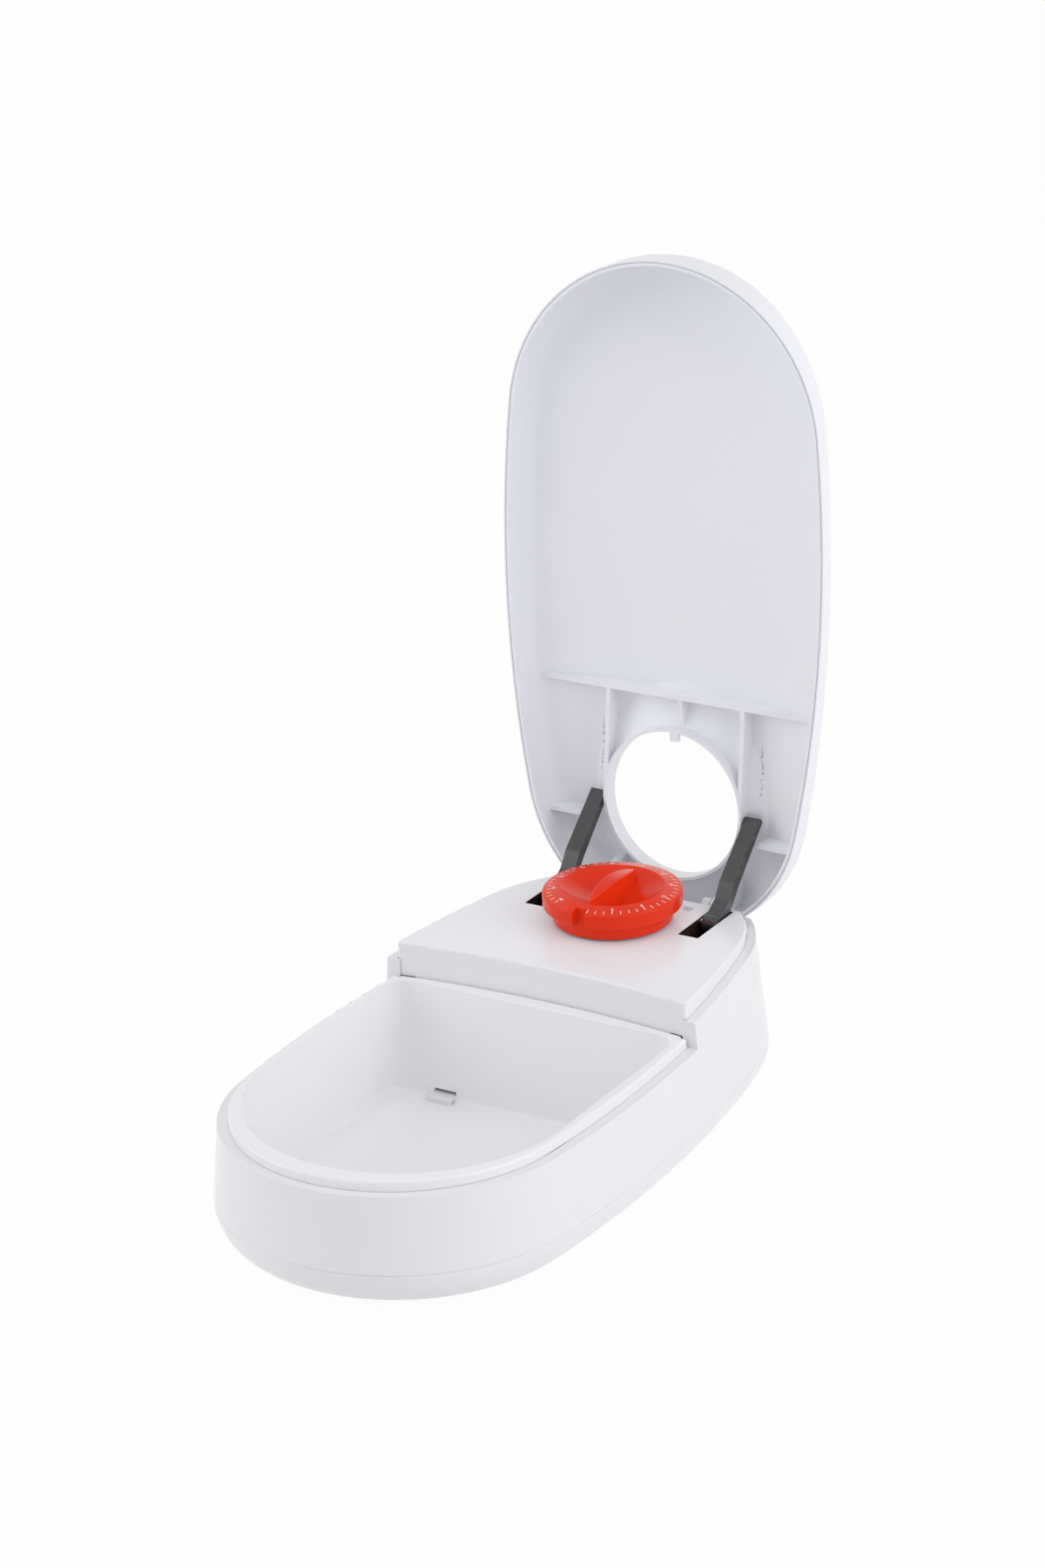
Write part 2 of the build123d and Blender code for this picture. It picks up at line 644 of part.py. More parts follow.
def food_bowl():
    """Lift-out D-shaped bowl with its flat rim and turned-down edge."""
    depth = BOWL_RIM_Z - BOWL_FLOOR_Z
    under = BOWL_WALL / depth
    top_out = tub_outline(BOWL_WALL, 0, 0, BOWL_RIM_Z)
    foot_out = tub_outline(
        BOWL_WALL, BOWL_SIDE_LEAN * (1 + under), BOWL_BACK_LEAN * (1 + under), BOWL_FLOOR_Z - BOWL_WALL
    )
    top_in = tub_outline(0, 0, 0, BOWL_RIM_Z)
    foot_in = tub_outline(0, BOWL_SIDE_LEAN, BOWL_BACK_LEAN, BOWL_FLOOR_Z)
    outside = loft([top_out, foot_out], ruled=True)
    inside = loft([top_in, foot_in], ruled=True)
    outside = fillet(outside.faces().sort_by(Axis.Z)[0].edges(), BOWL_FOOT_R + BOWL_WALL)
    inside = fillet(inside.faces().sort_by(Axis.Z)[0].edges(), BOWL_FOOT_R)
    tub_top = BOWL_RIM_Z - (BOWL_RIM_R + BOWL_RIM_THICK) / 2
    outside -= block((-FAR, FAR), (-FAR, FAR), (tub_top, FAR))

    rim = upright(-BOWL_RIM_INSET, LEDGE_Z + FIT_GAP, BOWL_RIM_Z)
    rim -= deck_plan(BOWL_DECK_GAP, 0, FAR)
    behind = DECK_FRONT_Y + DECK_WALL
    rim -= block((-FAR, FAR), (behind, FAR), (0, FAR))
    corner = BOWL_R - BOWL_DECK_GAP
    for side in (-1, 1):
        x_range = sorted((side * corner, side * FAR))
        rim -= block(x_range, (STEP_Y - BOWL_STEP_GAP, FAR), (0, FAR))
    rim = fillet(rim.faces().sort_by(Axis.Z)[-1].edges(), BOWL_RIM_R)
    hollow = upright(-BOWL_RIM_INSET - BOWL_WALL, 0, BOWL_RIM_Z - BOWL_RIM_THICK)
    hollow &= block((-FAR, FAR), (-FAR, BOWL_BACK_Y), (0, FAR))
    rim -= hollow
    rim -= block((-corner, corner), (BOWL_BACK_Y, FAR), (0, BOWL_RIM_Z - BOWL_RIM_THICK))
    bowl = rim + outside - inside
    bowl -= extrude(top_in, amount=WALL)
    slot_low = BOWL_FLOOR_Z + CATCH_SLOT_LIFT
    foot_y = BOWL_BACK_Y - BOWL_BACK_LEAN
    bowl -= block(
        (CATCH_X - CATCH_WIDTH / 2, CATCH_X + CATCH_WIDTH / 2),
        (foot_y - BOWL_WALL, foot_y + 4 * BOWL_WALL),
        (slot_low, slot_low + CATCH_SLOT_HEIGHT),
    )
    return bowl


def bowl_catch():
    """Clear catch in the slot at the foot of the bowl's back wall."""
    low = BOWL_FLOOR_Z + CATCH_SLOT_LIFT
    high = low + CATCH_SLOT_HEIGHT / 2
    foot_y = BOWL_BACK_Y - BOWL_BACK_LEAN
    half = CATCH_WIDTH / 2
    tongue = block(
        (CATCH_X - half, CATCH_X + half), (foot_y - CATCH_REACH, foot_y + 3 * BOWL_WALL), (low, high)
    )
    nose = block(
        (CATCH_X - half, CATCH_X + half),
        (foot_y - CATCH_REACH, foot_y - CATCH_REACH + BOWL_WALL),
        (BOWL_FLOOR_Z, high),
    )
    catch = tongue + nose
    nose_edges = catch.faces().sort_by(Axis.Y)[0].edges().filter_by(Axis.X)
    return fillet(nose_edges.sort_by(Axis.Z)[-1], BOWL_WALL / 4)


def dial():
    """Hollow dial with a dished top, a leaf-shaped grip and a release notch."""
    slope = (DIAL_DISH_Z - DIAL_RIM_Z) / (DIAL_RIM_R - DIAL_DISH_R)
    flare_z = DIAL_SKIRT_Z + 2 * DIAL_WALL
    out, up = DIAL_DISH_BOW
    dish_mid = (DIAL_DISH_R * out, DIAL_DISH_FLOOR_Z + (DIAL_DISH_Z - DIAL_DISH_FLOOR_Z) * up)
    inner_r = DIAL_SKIRT_R - DIAL_WALL
    inner_top = DIAL_DISH_Z - DIAL_WALL - slope * DIAL_WALL / 2
    floor_low = DIAL_DISH_FLOOR_Z - DIAL_WALL
    outer_edges = [
        Line((0, DIAL_SKIRT_Z), (DIAL_SKIRT_R, DIAL_SKIRT_Z)),
        Line((DIAL_SKIRT_R, DIAL_SKIRT_Z), (DIAL_SKIRT_R, DIAL_LEDGE_Z)),
        Line((DIAL_SKIRT_R, DIAL_LEDGE_Z), (DIAL_RIM_R, DIAL_RIM_FOOT_Z)),
        Line((DIAL_RIM_R, DIAL_RIM_FOOT_Z), (DIAL_RIM_R, DIAL_RIM_Z)),
        Line((DIAL_RIM_R, DIAL_RIM_Z), (DIAL_DISH_R, DIAL_DISH_Z)),
        ThreePointArc((DIAL_DISH_R, DIAL_DISH_Z), dish_mid, (0, DIAL_DISH_FLOOR_Z)),
        Line((0, DIAL_DISH_FLOOR_Z), (0, DIAL_SKIRT_Z)),
    ]
    low_mid = (dish_mid[0], dish_mid[1] - DIAL_WALL)
    shoulder = DIAL_DISH_R - DIAL_WALL / 2
    rise = inner_top - slope * (inner_r + DIAL_WALL - shoulder)
    inner_edges = [
        Line((0, DIAL_SKIRT_Z - PAST), (inner_r, DIAL_SKIRT_Z - PAST)),
        Line((inner_r, DIAL_SKIRT_Z - PAST), (inner_r, flare_z)),
        Line((inner_r, flare_z), (inner_r + DIAL_WALL, rise)),
        Line((inner_r + DIAL_WALL, rise), (shoulder, inner_top)),
        ThreePointArc((shoulder, inner_top), low_mid, (0, floor_low)),
        Line((0, floor_low), (0, DIAL_SKIRT_Z - PAST)),
    ]
    solids = []
    for edges in (outer_edges, inner_edges):
        face = Plane.XZ.location * make_face(edges)
        solids.append(revolve(face, axis=Axis.Z))
    body = solids[0] - solids[1]
    lips = body.edges().filter_by(
        lambda e: e.center().Z > DIAL_RIM_FOOT_Z - LEAST_LINE and e.length > 2 * pi * (DIAL_DISH_R - LEAST_LINE)
    )
    body = fillet(lips.sort_by(lambda e: e.bounding_box().max.X)[-3:], DIAL_EDGE_R)
    body += post(0, 0, DIAL_SKIRT_Z + DIAL_SINK, floor_low + DIAL_WALL / 2, DIAL_BOSS_R)
    body -= post(0, 0, DIAL_SKIRT_Z, floor_low - DIAL_SINK, SPINDLE_R)

    half_length = DIAL_FIN_LENGTH / 2
    half_width = DIAL_FIN_WIDTH / 2
    leaf = [
        ThreePointArc((0, -half_length), (half_width, 0), (0, half_length)),
        ThreePointArc((0, half_length), (-half_width, 0), (0, -half_length)),
    ]
    fin_foot = floor_low + DIAL_WALL / 2
    fin = extrude(Pos(0, 0, fin_foot) * make_face(leaf), amount=DIAL_FIN_Z - fin_foot)
    ridge_edges = [
        ThreePointArc((-half_length, DIAL_FIN_END_Z), (0, DIAL_FIN_Z), (half_length, DIAL_FIN_END_Z)),
        Line((half_length, DIAL_FIN_END_Z), (half_length, 0)),
        Line((half_length, 0), (-half_length, 0)),
        Line((-half_length, 0), (-half_length, DIAL_FIN_END_Z)),
    ]
    ridge_plane = Plane(origin=(-half_width, 0, 0), x_dir=(0, 1, 0), z_dir=(1, 0, 0))
    ridge = ridge_plane.location * make_face(ridge_edges)
    fin &= extrude(ridge, amount=DIAL_FIN_WIDTH, dir=(1, 0, 0))
    top_edges = fin.edges().filter_by(lambda e: e.center().Z > DIAL_FIN_END_Z)
    top_edges = top_edges.filter_by(lambda e: e.length > half_length)
    fin = fillet(top_edges, DIAL_FIN_EDGE_R)
    body += fin
    body -= block(
        (DIAL_NOTCH_X - DIAL_NOTCH_WIDTH / 2, DIAL_NOTCH_X + DIAL_NOTCH_WIDTH / 2),
        (-DIAL_RIM_R - PAST, -DIAL_SKIRT_R - FIT_GAP),
        (0, FAR),
    )
    return Pos(0, DIAL_Y, 0) * body


def dial_spindle():
    """Spindle that joins the dial to its wheel."""
    foot = WHEEL_Z - SPINDLE_FOOT
    top = DIAL_DISH_FLOOR_Z - DIAL_WALL - DIAL_SINK
    return post(0, DIAL_Y, foot, top, SPINDLE_R)


def dial_bush():
    """Bearing bush for the spindle, set in the deck."""
    low = TIMER_TOP_Z + FIT_GAP
    high = DECK_TOP_Z + SPINDLE_CLEAR
    bush = post(0, DIAL_Y, low, high, SPINDLE_R + WALL / 2)
    return bush - post(0, DIAL_Y, low, high, SPINDLE_R + RUNNING_GAP)


def gear(teeth, thickness, bore_r):
    """Spur gear with involute flanks, one tooth centred on +X, foot at Z 0."""
    pitch_r = GEAR_MODULE * teeth / 2
    tip_r = pitch_r + GEAR_MODULE * GEAR_ADDENDUM
    root_r = pitch_r - GEAR_MODULE * GEAR_DEDENDUM
    base_r = pitch_r * cos(radians(PRESSURE_ANGLE))
    start_r = max(base_r, root_r)
    pitch_roll = tan(radians(PRESSURE_ANGLE)) - radians(PRESSURE_ANGLE)
    half_tooth = pi / (2 * teeth) - GEAR_BACKLASH / (2 * pitch_r)

    def flank(r):
        roll = sqrt(max((r / base_r) ** 2 - 1, 0))
        return half_tooth + pitch_roll - (roll - atan(roll))

    def at(r, angle):
        return (r * cos(angle), r * sin(angle))

    edges = []
    step = 2 * pi / teeth
    rooted = start_r > root_r + LEAST_LINE
    middle_r = (start_r + tip_r) / 2
    for tooth in range(teeth):
        turn = tooth * step
        low, mid, high = flank(start_r), flank(middle_r), flank(tip_r)
        rising = ThreePointArc(at(start_r, turn - low), at(middle_r, turn - mid), at(tip_r, turn - high))
        crest = ThreePointArc(at(tip_r, turn - high), at(tip_r, turn), at(tip_r, turn + high))
        root = at(start_r, turn + low)
        falling = ThreePointArc(at(tip_r, turn + high), at(middle_r, turn + mid), root)
        if rooted:
            edges.append(Line(at(root_r, turn - low), at(start_r, turn - low)))
        edges += [rising, crest, falling]
        if rooted:
            edges.append(Line(at(start_r, turn + low), at(root_r, turn + low)))
        gap_end = turn + step - low
        valley_r = root_r if rooted else start_r
        valley = [at(valley_r, angle) for angle in (turn + low, turn + step / 2, gap_end)]
        edges.append(ThreePointArc(*valley))
    body = extrude(make_face(edges), amount=thickness)
    return body - post(0, 0, -PAST, thickness + PAST, bore_r)


def pinion_y():
    """Pinion axis, in front of the spindle at the gear pair's centre distance."""
    return DIAL_Y - GEAR_MODULE * (WHEEL_TEETH + PINION_TEETH) / 2 - GEAR_PLAY


def dial_wheel():
    """Wheel on the spindle, driven by the movement's pinion."""
    wheel = Pos(0, DIAL_Y, WHEEL_Z) * gear(WHEEL_TEETH, WHEEL_WIDTH, SPINDLE_R)
    hub = post(0, DIAL_Y, WHEEL_Z, WHEEL_Z + 2 * WHEEL_WIDTH, SPINDLE_R + WALL / 2)
    return wheel + hub - post(0, DIAL_Y, 0, FAR, SPINDLE_R)


def dial_clip():
    """Split clip under the wheel."""
    clip = post(0, DIAL_Y, WHEEL_Z - CLIP_THICK, WHEEL_Z, SPINDLE_R + WALL / 2)
    clip -= post(0, DIAL_Y, 0, FAR, SPINDLE_R)
    return clip - block((-CLIP_SPLIT / 2, CLIP_SPLIT / 2), (DIAL_Y, DIAL_Y + 2 * SPINDLE_R), (0, FAR))


def movement_pinion():
    """Driving pinion on its arbor."""
    to_wheel = degrees(pi / 2 + pi / PINION_TEETH)
    centre_y = pinion_y()
    pinion = gear(PINION_TEETH, WHEEL_WIDTH + 2 * PINION_OVERLAP, ARBOR_R)
    pinion = Pos(0, centre_y, WHEEL_Z - PINION_OVERLAP) * Rot(0, 0, to_wheel) * pinion
    arbor_low = TIMER_FOOT_Z + TIMER_WALL + ARBOR_END_GAP
    arbor_high = TIMER_TOP_Z - TIMER_WALL - ARBOR_END_GAP
    return pinion + post(0, centre_y, arbor_low, arbor_high, ARBOR_R)


def rounded_box(size, z_low, z_high, radius):
    """Square block with rounded upright corners, centred on the dial."""
    shape = block((-size / 2, size / 2), (DIAL_Y - size / 2, DIAL_Y + size / 2), (z_low, z_high))
    return fillet(shape.edges().filter_by(Axis.Z), radius)


def timer_screw_spots():
    """Corner screws of the timer."""
    half = TIMER_SCREW_PITCH / 2
    return [(x, DIAL_Y + y) for x in (-half, half) for y in (-half, half)]


def bearing(z_low, z_high, hole_low, hole_high):
    """Boss and hole for one end of the pinion's arbor."""
    boss = post(0, pinion_y(), z_low, z_high, 2 * ARBOR_R)
    hole = post(0, pinion_y(), hole_low, hole_high, ARBOR_R + RUNNING_GAP)
    return boss, hole


def timer_case():
    """Movement case, open below, screwed under the deck."""
    foot = TIMER_FOOT_Z + TIMER_WALL
    case = rounded_box(TIMER_SIZE, foot, TIMER_TOP_Z, TIMER_CORNER_R)
    top = TIMER_TOP_Z - TIMER_WALL
    case -= rounded_box(TIMER_SIZE - 2 * TIMER_WALL, foot - PAST, top, TIMER_CORNER_R - TIMER_WALL)
    for x, y in timer_screw_spots():
        case += post(x, y, foot, TIMER_TOP_Z - TIMER_WALL / 2, TIMER_PILLAR_R)
        case -= post(x, y, 0, FAR, SCREW_R + FIT_GAP)
    boss, hole = bearing(top - BEARING_HEIGHT, top + TIMER_WALL / 2, 0, top - BEARING_FLOOR)
    case += boss
    case -= hole
    return case - post(0, DIAL_Y, 0, FAR, SPINDLE_R + SPINDLE_CLEAR)


def timer_cover():
    """Plate that closes the movement case."""
    high = TIMER_FOOT_Z + TIMER_WALL
    cover = rounded_box(TIMER_SIZE, TIMER_FOOT_Z, high, TIMER_CORNER_R)
    for x, y in timer_screw_spots():
        cover -= post(x, y, 0, FAR, SCREW_R + FIT_GAP)
    boss, hole = bearing(high - TIMER_WALL / 2, high + BEARING_HEIGHT, high + BEARING_FLOOR, FAR)
    cover += boss
    cover -= hole
    length, width, _ = BOARD_SIZE
    reach_x = length / 2 - BOARD_PILLAR_INSET
    reach_y = width / 2 - BOARD_PILLAR_INSET
    for x in (-reach_x, reach_x):
        for y in (DIAL_Y + BOARD_SETBACK - reach_y, DIAL_Y + BOARD_SETBACK + reach_y):
            cover += post(x, y, high - TIMER_WALL / 2, high + BOARD_LIFT, BOARD_PILLAR_R)
    return cover


def timer_board():
    """Circuit board on the cover's four pillars."""
    length, width, thick = BOARD_SIZE
    low = TIMER_FOOT_Z + TIMER_WALL + BOARD_LIFT
    y = DIAL_Y + BOARD_SETBACK
    return block((-length / 2, length / 2), (y - width / 2, y + width / 2), (low, low + thick))


def drive_coil():
    """Wound coil of the stepping motor, lying on the board."""
    low = TIMER_FOOT_Z + TIMER_WALL + BOARD_LIFT + BOARD_SIZE[2]
    thick, rim = COIL_FLANGE
    y = DIAL_Y + COIL_SETBACK
    half = COIL_LENGTH / 2
    coil = rod(y, low + COIL_R, -half, half, COIL_R)
    for x in (-half, half):
        coil += block(
            (x - thick / 2, x + thick / 2),
            (y - COIL_R - rim, y + COIL_R + rim),
            (low, low + 2 * COIL_R + rim),
        )
    return coil


def timer_screws():
    """Screws that hold cover and case to the deck."""
    head = TIMER_FOOT_Z - SCREW_HEAD_HEIGHT
    tip = DECK_TOP_Z - DECK_WALL - PAST
    return Compound(children=[screw(x, y, head, tip) for x, y in timer_screw_spots()])


def aa_battery():
    """AA cell."""
    x_low = -CELL_LENGTH / 2
    cell = rod(CELL_Y, CELL_Z, x_low, x_low + CELL_LENGTH - CELL_NUB_LENGTH, CELL_R)
    cell = fillet(cell.edges(), CELL_EDGE_R)
    return cell + rod(CELL_Y, CELL_Z, 0, x_low + CELL_LENGTH, CELL_NUB_R)


def contact_flat(x_low, x_high):
    """Square contact plate with rounded corners, standing across the cell."""
    half = CONTACT_SIZE / 2
    plate = block((x_low, x_high), (CELL_Y - half, CELL_Y + half), (CELL_Z - half, CELL_Z + half))
    return fillet(plate.edges().filter_by(Axis.X), CONTACT_CORNER_R)


def contact_plate():
    """Flat contact at the cell's raised end."""
    x_low = CELL_LENGTH / 2
    return contact_flat(x_low, x_low + CONTACT_THICK)


def contact_spring():
    """Coiled contact at the cell's flat end, on its plate."""
    x_end = -CELL_LENGTH / 2
    x_plate = x_end - CONTACT_SPRING_LENGTH
    plate = contact_flat(x_plate - CONTACT_THICK, x_plate)
    height = CONTACT_SPRING_LENGTH - CONTACT_WIRE_R
    path = Helix(pitch=height / CONTACT_TURNS, height=height, radius=CONTACT_COIL_R)
    section = Plane(origin=path @ 0, z_dir=path % 0).location * Circle(CONTACT_WIRE_R)
    coil = sweep(section, path=path, is_frenet=True)
    return plate + Pos(x_plate, CELL_Y, CELL_Z) * Rot(0, 90, 0) * coil


def battery_door():
    """Door under the battery bay, held by four hooks that slide free."""
    x_range, y_range = door_limits(DOOR_GAP)
    top = FOOT_LIFT + DOOR_THICK
    door = block(x_range, y_range, (FOOT_LIFT, top))
    door = fillet(door.edges().filter_by(Axis.Z), DOOR_CORNER_R)
    stem_x, stem_y = DOOR_HOOK_SIZE
    foot_low = top + FIT_GAP + PAD_THICK + DOOR_GAP
    for x, y in hook_spots():
        stem_z = (FOOT_LIFT + DOOR_THICK / 2, foot_low + DOOR_HOOK_THICK / 2)
        door += block((x - stem_x / 2, x + stem_x / 2), (y, y + stem_y), stem_z)
        reach = stem_x / 2 + DOOR_HOOK_FOOT
        door += block((x - reach, x + reach), (y, y + stem_y), (foot_low, foot_low + DOOR_HOOK_THICK))
    length, width, depth = GRIP_SIZE
    for count in range(GRIP_COUNT):
        y = y_range[0] + GRIP_INSET + GRIP_PITCH * count
        door -= block((-length / 2, length / 2), (y, y + width), (0, FOOT_LIFT + depth))
    return door


def lid_form(inset):
    """Domed block of the lid, or its hollow when inset by the wall."""
    crown_z = LID_CROWN_Z - inset
    base = Pos(0, -REAR_END_Y, 0) * outline(LID_GROWTH - inset, -inset)
    form = extrude(base, amount=LID_CROWN_Z + 2 * LID_WALL)
    crown_axis = Pos(0, 0, crown_z - LID_CROWN_R) * Rot(90, 0, 0)
    form &= crown_axis * Cylinder(LID_CROWN_R, 2 * FAR)
    edges = form.faces().sort_by(Axis.Z)[-1].edges()
    return fillet(edges, LID_EDGE_R - inset)


def funnel(drop):
    """Dished space above the dial hole, lowered by drop."""
    low = LID_FUNNEL_Z - drop
    high = low + LID_FUNNEL_RISE * (LID_FUNNEL_R - LID_HOLE_R)
    points = [(0, low), (LID_HOLE_R, low), (LID_FUNNEL_R, high), (LID_FUNNEL_R, FAR), (0, FAR)]
    face = make_face(Polyline(*points, close=True))
    return Pos(0, -LID_HOLE_S, 0) * revolve(Plane.XZ.location * face, axis=Axis.Z)


def lid_rib(points, x_low, x_high, form):
    """Rib across X given as (distance from the rear end, height) points."""
    return side_cut([(-s, z) for s, z in points], x_low, x_high) & form


def lid():
    """Domed lid with its dial hole, ribs, release tab and hinge lugs, standing open."""
    form = lid_form(0) - funnel(0)
    hollow = lid_form(LID_WALL) - funnel(LID_WALL * sqrt(1 + LID_FUNNEL_RISE**2))
    shell = form - hollow
    top = LID_CROWN_Z
    main_low = MAIN_RIB_S - RIB_WALL
    shell += lid_rib(
        [(MAIN_RIB_S, MAIN_RIB_Z), (main_low, MAIN_RIB_Z), (main_low, top), (MAIN_RIB_S, top)],
        -FRONT_ARC_R,
        FRONT_ARC_R,
        form,
    )
    side_points = [
        (LID_HOLE_S, LID_COLLAR_Z),
        (MAIN_RIB_S, MAIN_RIB_Z),
        (MAIN_RIB_S, top),
        (LID_HOLE_S, top),
    ]
    for x in (-SIDE_RIB_X, SIDE_RIB_X):
        shell += lid_rib(side_points, x - RIB_WALL / 2, x + RIB_WALL / 2, form)
    middle_low = LID_FUNNEL_Z - LID_WALL
    middle_points = [
        (MAIN_RIB_S, MAIN_RIB_Z),
        (MAIN_RIB_S, top),
        (MIDDLE_RIB_S, top),
        (MIDDLE_RIB_S, middle_low),
    ]
    middle_x = (MIDDLE_RIB_X - RIB_WALL / 2, MIDDLE_RIB_X + RIB_WALL / 2)
    shell += lid_rib(middle_points, *middle_x, form)
    lower_points = [
        (LOWER_RIB_S, LOWER_RIB_Z),
        (LOWER_RIB_S - RIB_WALL, LOWER_RIB_Z),
        (LOWER_RIB_S - RIB_WALL, top),
        (LOWER_RIB_S, top),
    ]
    shell += lid_rib(lower_points, LOWER_RIB_X, FRONT_ARC_R, form)
    shell += lid_rib(lower_points, -FRONT_ARC_R, -LOWER_RIB_X, form)
    collar = post(0, -LID_HOLE_S, LID_COLLAR_Z, top, LID_HOLE_R + LID_COLLAR_WALL)
    shell += collar & form
    shell -= post(0, -LID_HOLE_S, -FAR, FAR, LID_HOLE_R)
    shell += block(
        (TAB_X - TAB_WIDTH / 2, TAB_X + TAB_WIDTH / 2),
        (-LID_HOLE_S - LID_HOLE_R - LID_COLLAR_WALL / 2, -LID_HOLE_S - TAB_R),
        (LID_COLLAR_Z, LID_COLLAR_Z + TAB_THICK),
    )
    groove_out = LID_GROWTH - RIM_GROOVE_INSET
    groove = upright(groove_out, -PAST, RIM_GROOVE_DEPTH)
    groove -= upright(groove_out - RIM_GROOVE_WIDTH, -PAST, RIM_GROOVE_DEPTH)
    shell -= Pos(0, -REAR_END_Y, 0) * groove

    lug_low = LUG_X - LUG_WIDTH / 2
    lug_points = [
        (LID_AXIS_S - LUG_R, LID_AXIS_Z),
        (LID_AXIS_S + LUG_R, LID_AXIS_Z),
        (LID_AXIS_S + 3 * LUG_R, top),
        (LID_AXIS_S - LUG_R, top),
    ]
    lug = side_cut([(-s, z) for s, z in lug_points], lug_low, lug_low + LUG_WIDTH)
    lug &= form + block((-FAR, FAR), (-FAR, 0), (-2 * LUG_R, LID_EDGE_R))
    lug += rod(-LID_AXIS_S, LID_AXIS_Z, lug_low, lug_low + LUG_WIDTH, LUG_R)
    shell += both_sides(lug)
    reach = LUG_X + LUG_WIDTH
    shell -= rod(-LID_AXIS_S, LID_AXIS_Z, -reach, reach, HINGE_PIN_R + RUNNING_GAP)
    at_axis = Pos(0, LID_AXIS_S, -LID_AXIS_Z) * shell
    return Pos(0, HINGE_Y, HINGE_Z) * Rot(-90 - LID_LEAN, 0, 0) * at_axis


def hinge_pins():
    """Steel pins through the body lugs and the lid lugs."""
    half = LUG_WIDTH / 2 + LUG_SIDE_GAP + LUG_WALL
    pin = rod(HINGE_Y, HINGE_Z, LUG_X - half, LUG_X + half, HINGE_PIN_R)
    return Compound(children=both_sides(pin))


def opening_arm(side):
    """Cranked arm that pushes the lid open."""
    tip_y, tip_z = ARM_TIP
    kink_y, kink_z = ARM_KINK
    bend_y, bend_z = ARM_BEND
    reach = sqrt((tip_y - kink_y) ** 2 + (tip_z - kink_z) ** 2)
    across = ((tip_z - kink_z) / reach, (kink_y - tip_y) / reach)
    root = ((bend_z - ARM_PIVOT_Z), (ARM_PIVOT_Y - bend_y))
    root_reach = sqrt(root[0] ** 2 + root[1] ** 2)
    root = (root[0] / root_reach, root[1] / root_reach)
    points = [
        (ARM_PIVOT_Y - root[0] * ARM_THICK / 2, ARM_PIVOT_Z - root[1] * ARM_THICK / 2),
        (bend_y, bend_z),
        (kink_y, kink_z),
        (tip_y, tip_z),
        (tip_y + across[0] * ARM_TIP_THICK, tip_z + across[1] * ARM_TIP_THICK),
        (kink_y + across[0] * ARM_KINK_THICK, kink_z + across[1] * ARM_KINK_THICK),
        (bend_y + root[0] * ARM_THICK, bend_z + root[1] * ARM_THICK),
        (ARM_PIVOT_Y + root[0] * ARM_EYE_R, ARM_PIVOT_Z + root[1] * ARM_EYE_R),
    ]
    x_low = ARM_X - ARM_WIDTH / 2
    arm = side_cut(points, x_low, x_low + ARM_WIDTH)
    tip_edges = arm.edges().filter_by(Axis.X).sort_by(lambda e: e.center().Y)[-2:]
    arm = fillet(tip_edges, ARM_TIP_R)
    arm += rod(ARM_PIVOT_Y, ARM_PIVOT_Z, x_low, x_low + ARM_WIDTH, ARM_EYE_R)
    arm -= rod(ARM_PIVOT_Y, ARM_PIVOT_Z, x_low, x_low + ARM_WIDTH, ARM_PIN_R + RUNNING_GAP)
    if side < 0:
        arm = mirror(arm, about=Plane.YZ)
    return arm


def spring_turn():
    """Turn that points the spring's leg at the underside of the arm's eye, in degrees."""
    away = ARM_EYE_R + SPRING_WIRE_R + LEG_GAP
    target_y = ARM_PIVOT_Y - away * cos(LEG_AIM)
    target_z = ARM_PIVOT_Z - away * sin(LEG_AIM)
    reach = sqrt((target_y - SPRING_Y) ** 2 + (target_z - SPRING_Z) ** 2)
    centre_line = atan((target_z - SPRING_Z) / (target_y - SPRING_Y))
    leg_length = sqrt(reach**2 - SPRING_R**2)
    return degrees(centre_line + atan(SPRING_R / leg_length)), leg_length


def arm_spring(side):
    """Torsion spring on the deck's post, one leg under the arm's eye, one on its peg."""
    height = SPRING_PITCH * SPRING_TURNS
    turn, leg_length = spring_turn()
    path = Helix(pitch=SPRING_PITCH, height=height, radius=SPRING_R)
    section = Plane(origin=path @ 0, z_dir=path % 0).location * Circle(SPRING_WIRE_R)
    wire = sweep(section, path=path, is_frenet=True)
    root = SPRING_WIRE_R
    for length, z in ((leg_length, height), (-BRACE_REACH, 0)):
        start = -root if length > 0 else root
        middle = (length + start) / 2
        wire += Pos(SPRING_R, middle, z) * Rot(90, 0, 0) * Cylinder(LEG_WIRE_R, abs(length - start))
    x_low = SLOT_X - SLOT_WIDTH / 2 + SPRING_WIRE_R + FIT_GAP
    spring = Pos(x_low, SPRING_Y, SPRING_Z) * Rot(turn, 0, 0) * Rot(0, 90, 0) * wire
    if side < 0:
        spring = mirror(spring, about=Plane.YZ)
    return spring


NODES = {
    "outer_shell": outer_shell,
    "bottom_tray": bottom_tray,
    "rubber_feet": rubber_feet,
    "housing_screws": housing_screws,
    "deck_housing": deck_housing,
    "arm_pivot_pins": arm_pivot_pins,
    "food_bowl": food_bowl,
    "bowl_catch": bowl_catch,
    "dial": dial,
    "dial_spindle": dial_spindle,
    "dial_bush": dial_bush,
    "dial_wheel": dial_wheel,
    "dial_clip": dial_clip,
    "movement_pinion": movement_pinion,
    "timer_case": timer_case,
    "timer_cover": timer_cover,
    "timer_board": timer_board,
    "drive_coil": drive_coil,
    "timer_screws": timer_screws,
    "aa_battery": aa_battery,
    "contact_plate": contact_plate,
    "contact_spring": contact_spring,
    "battery_door": battery_door,
    "lid": lid,
    "hinge_pins": hinge_pins,
}

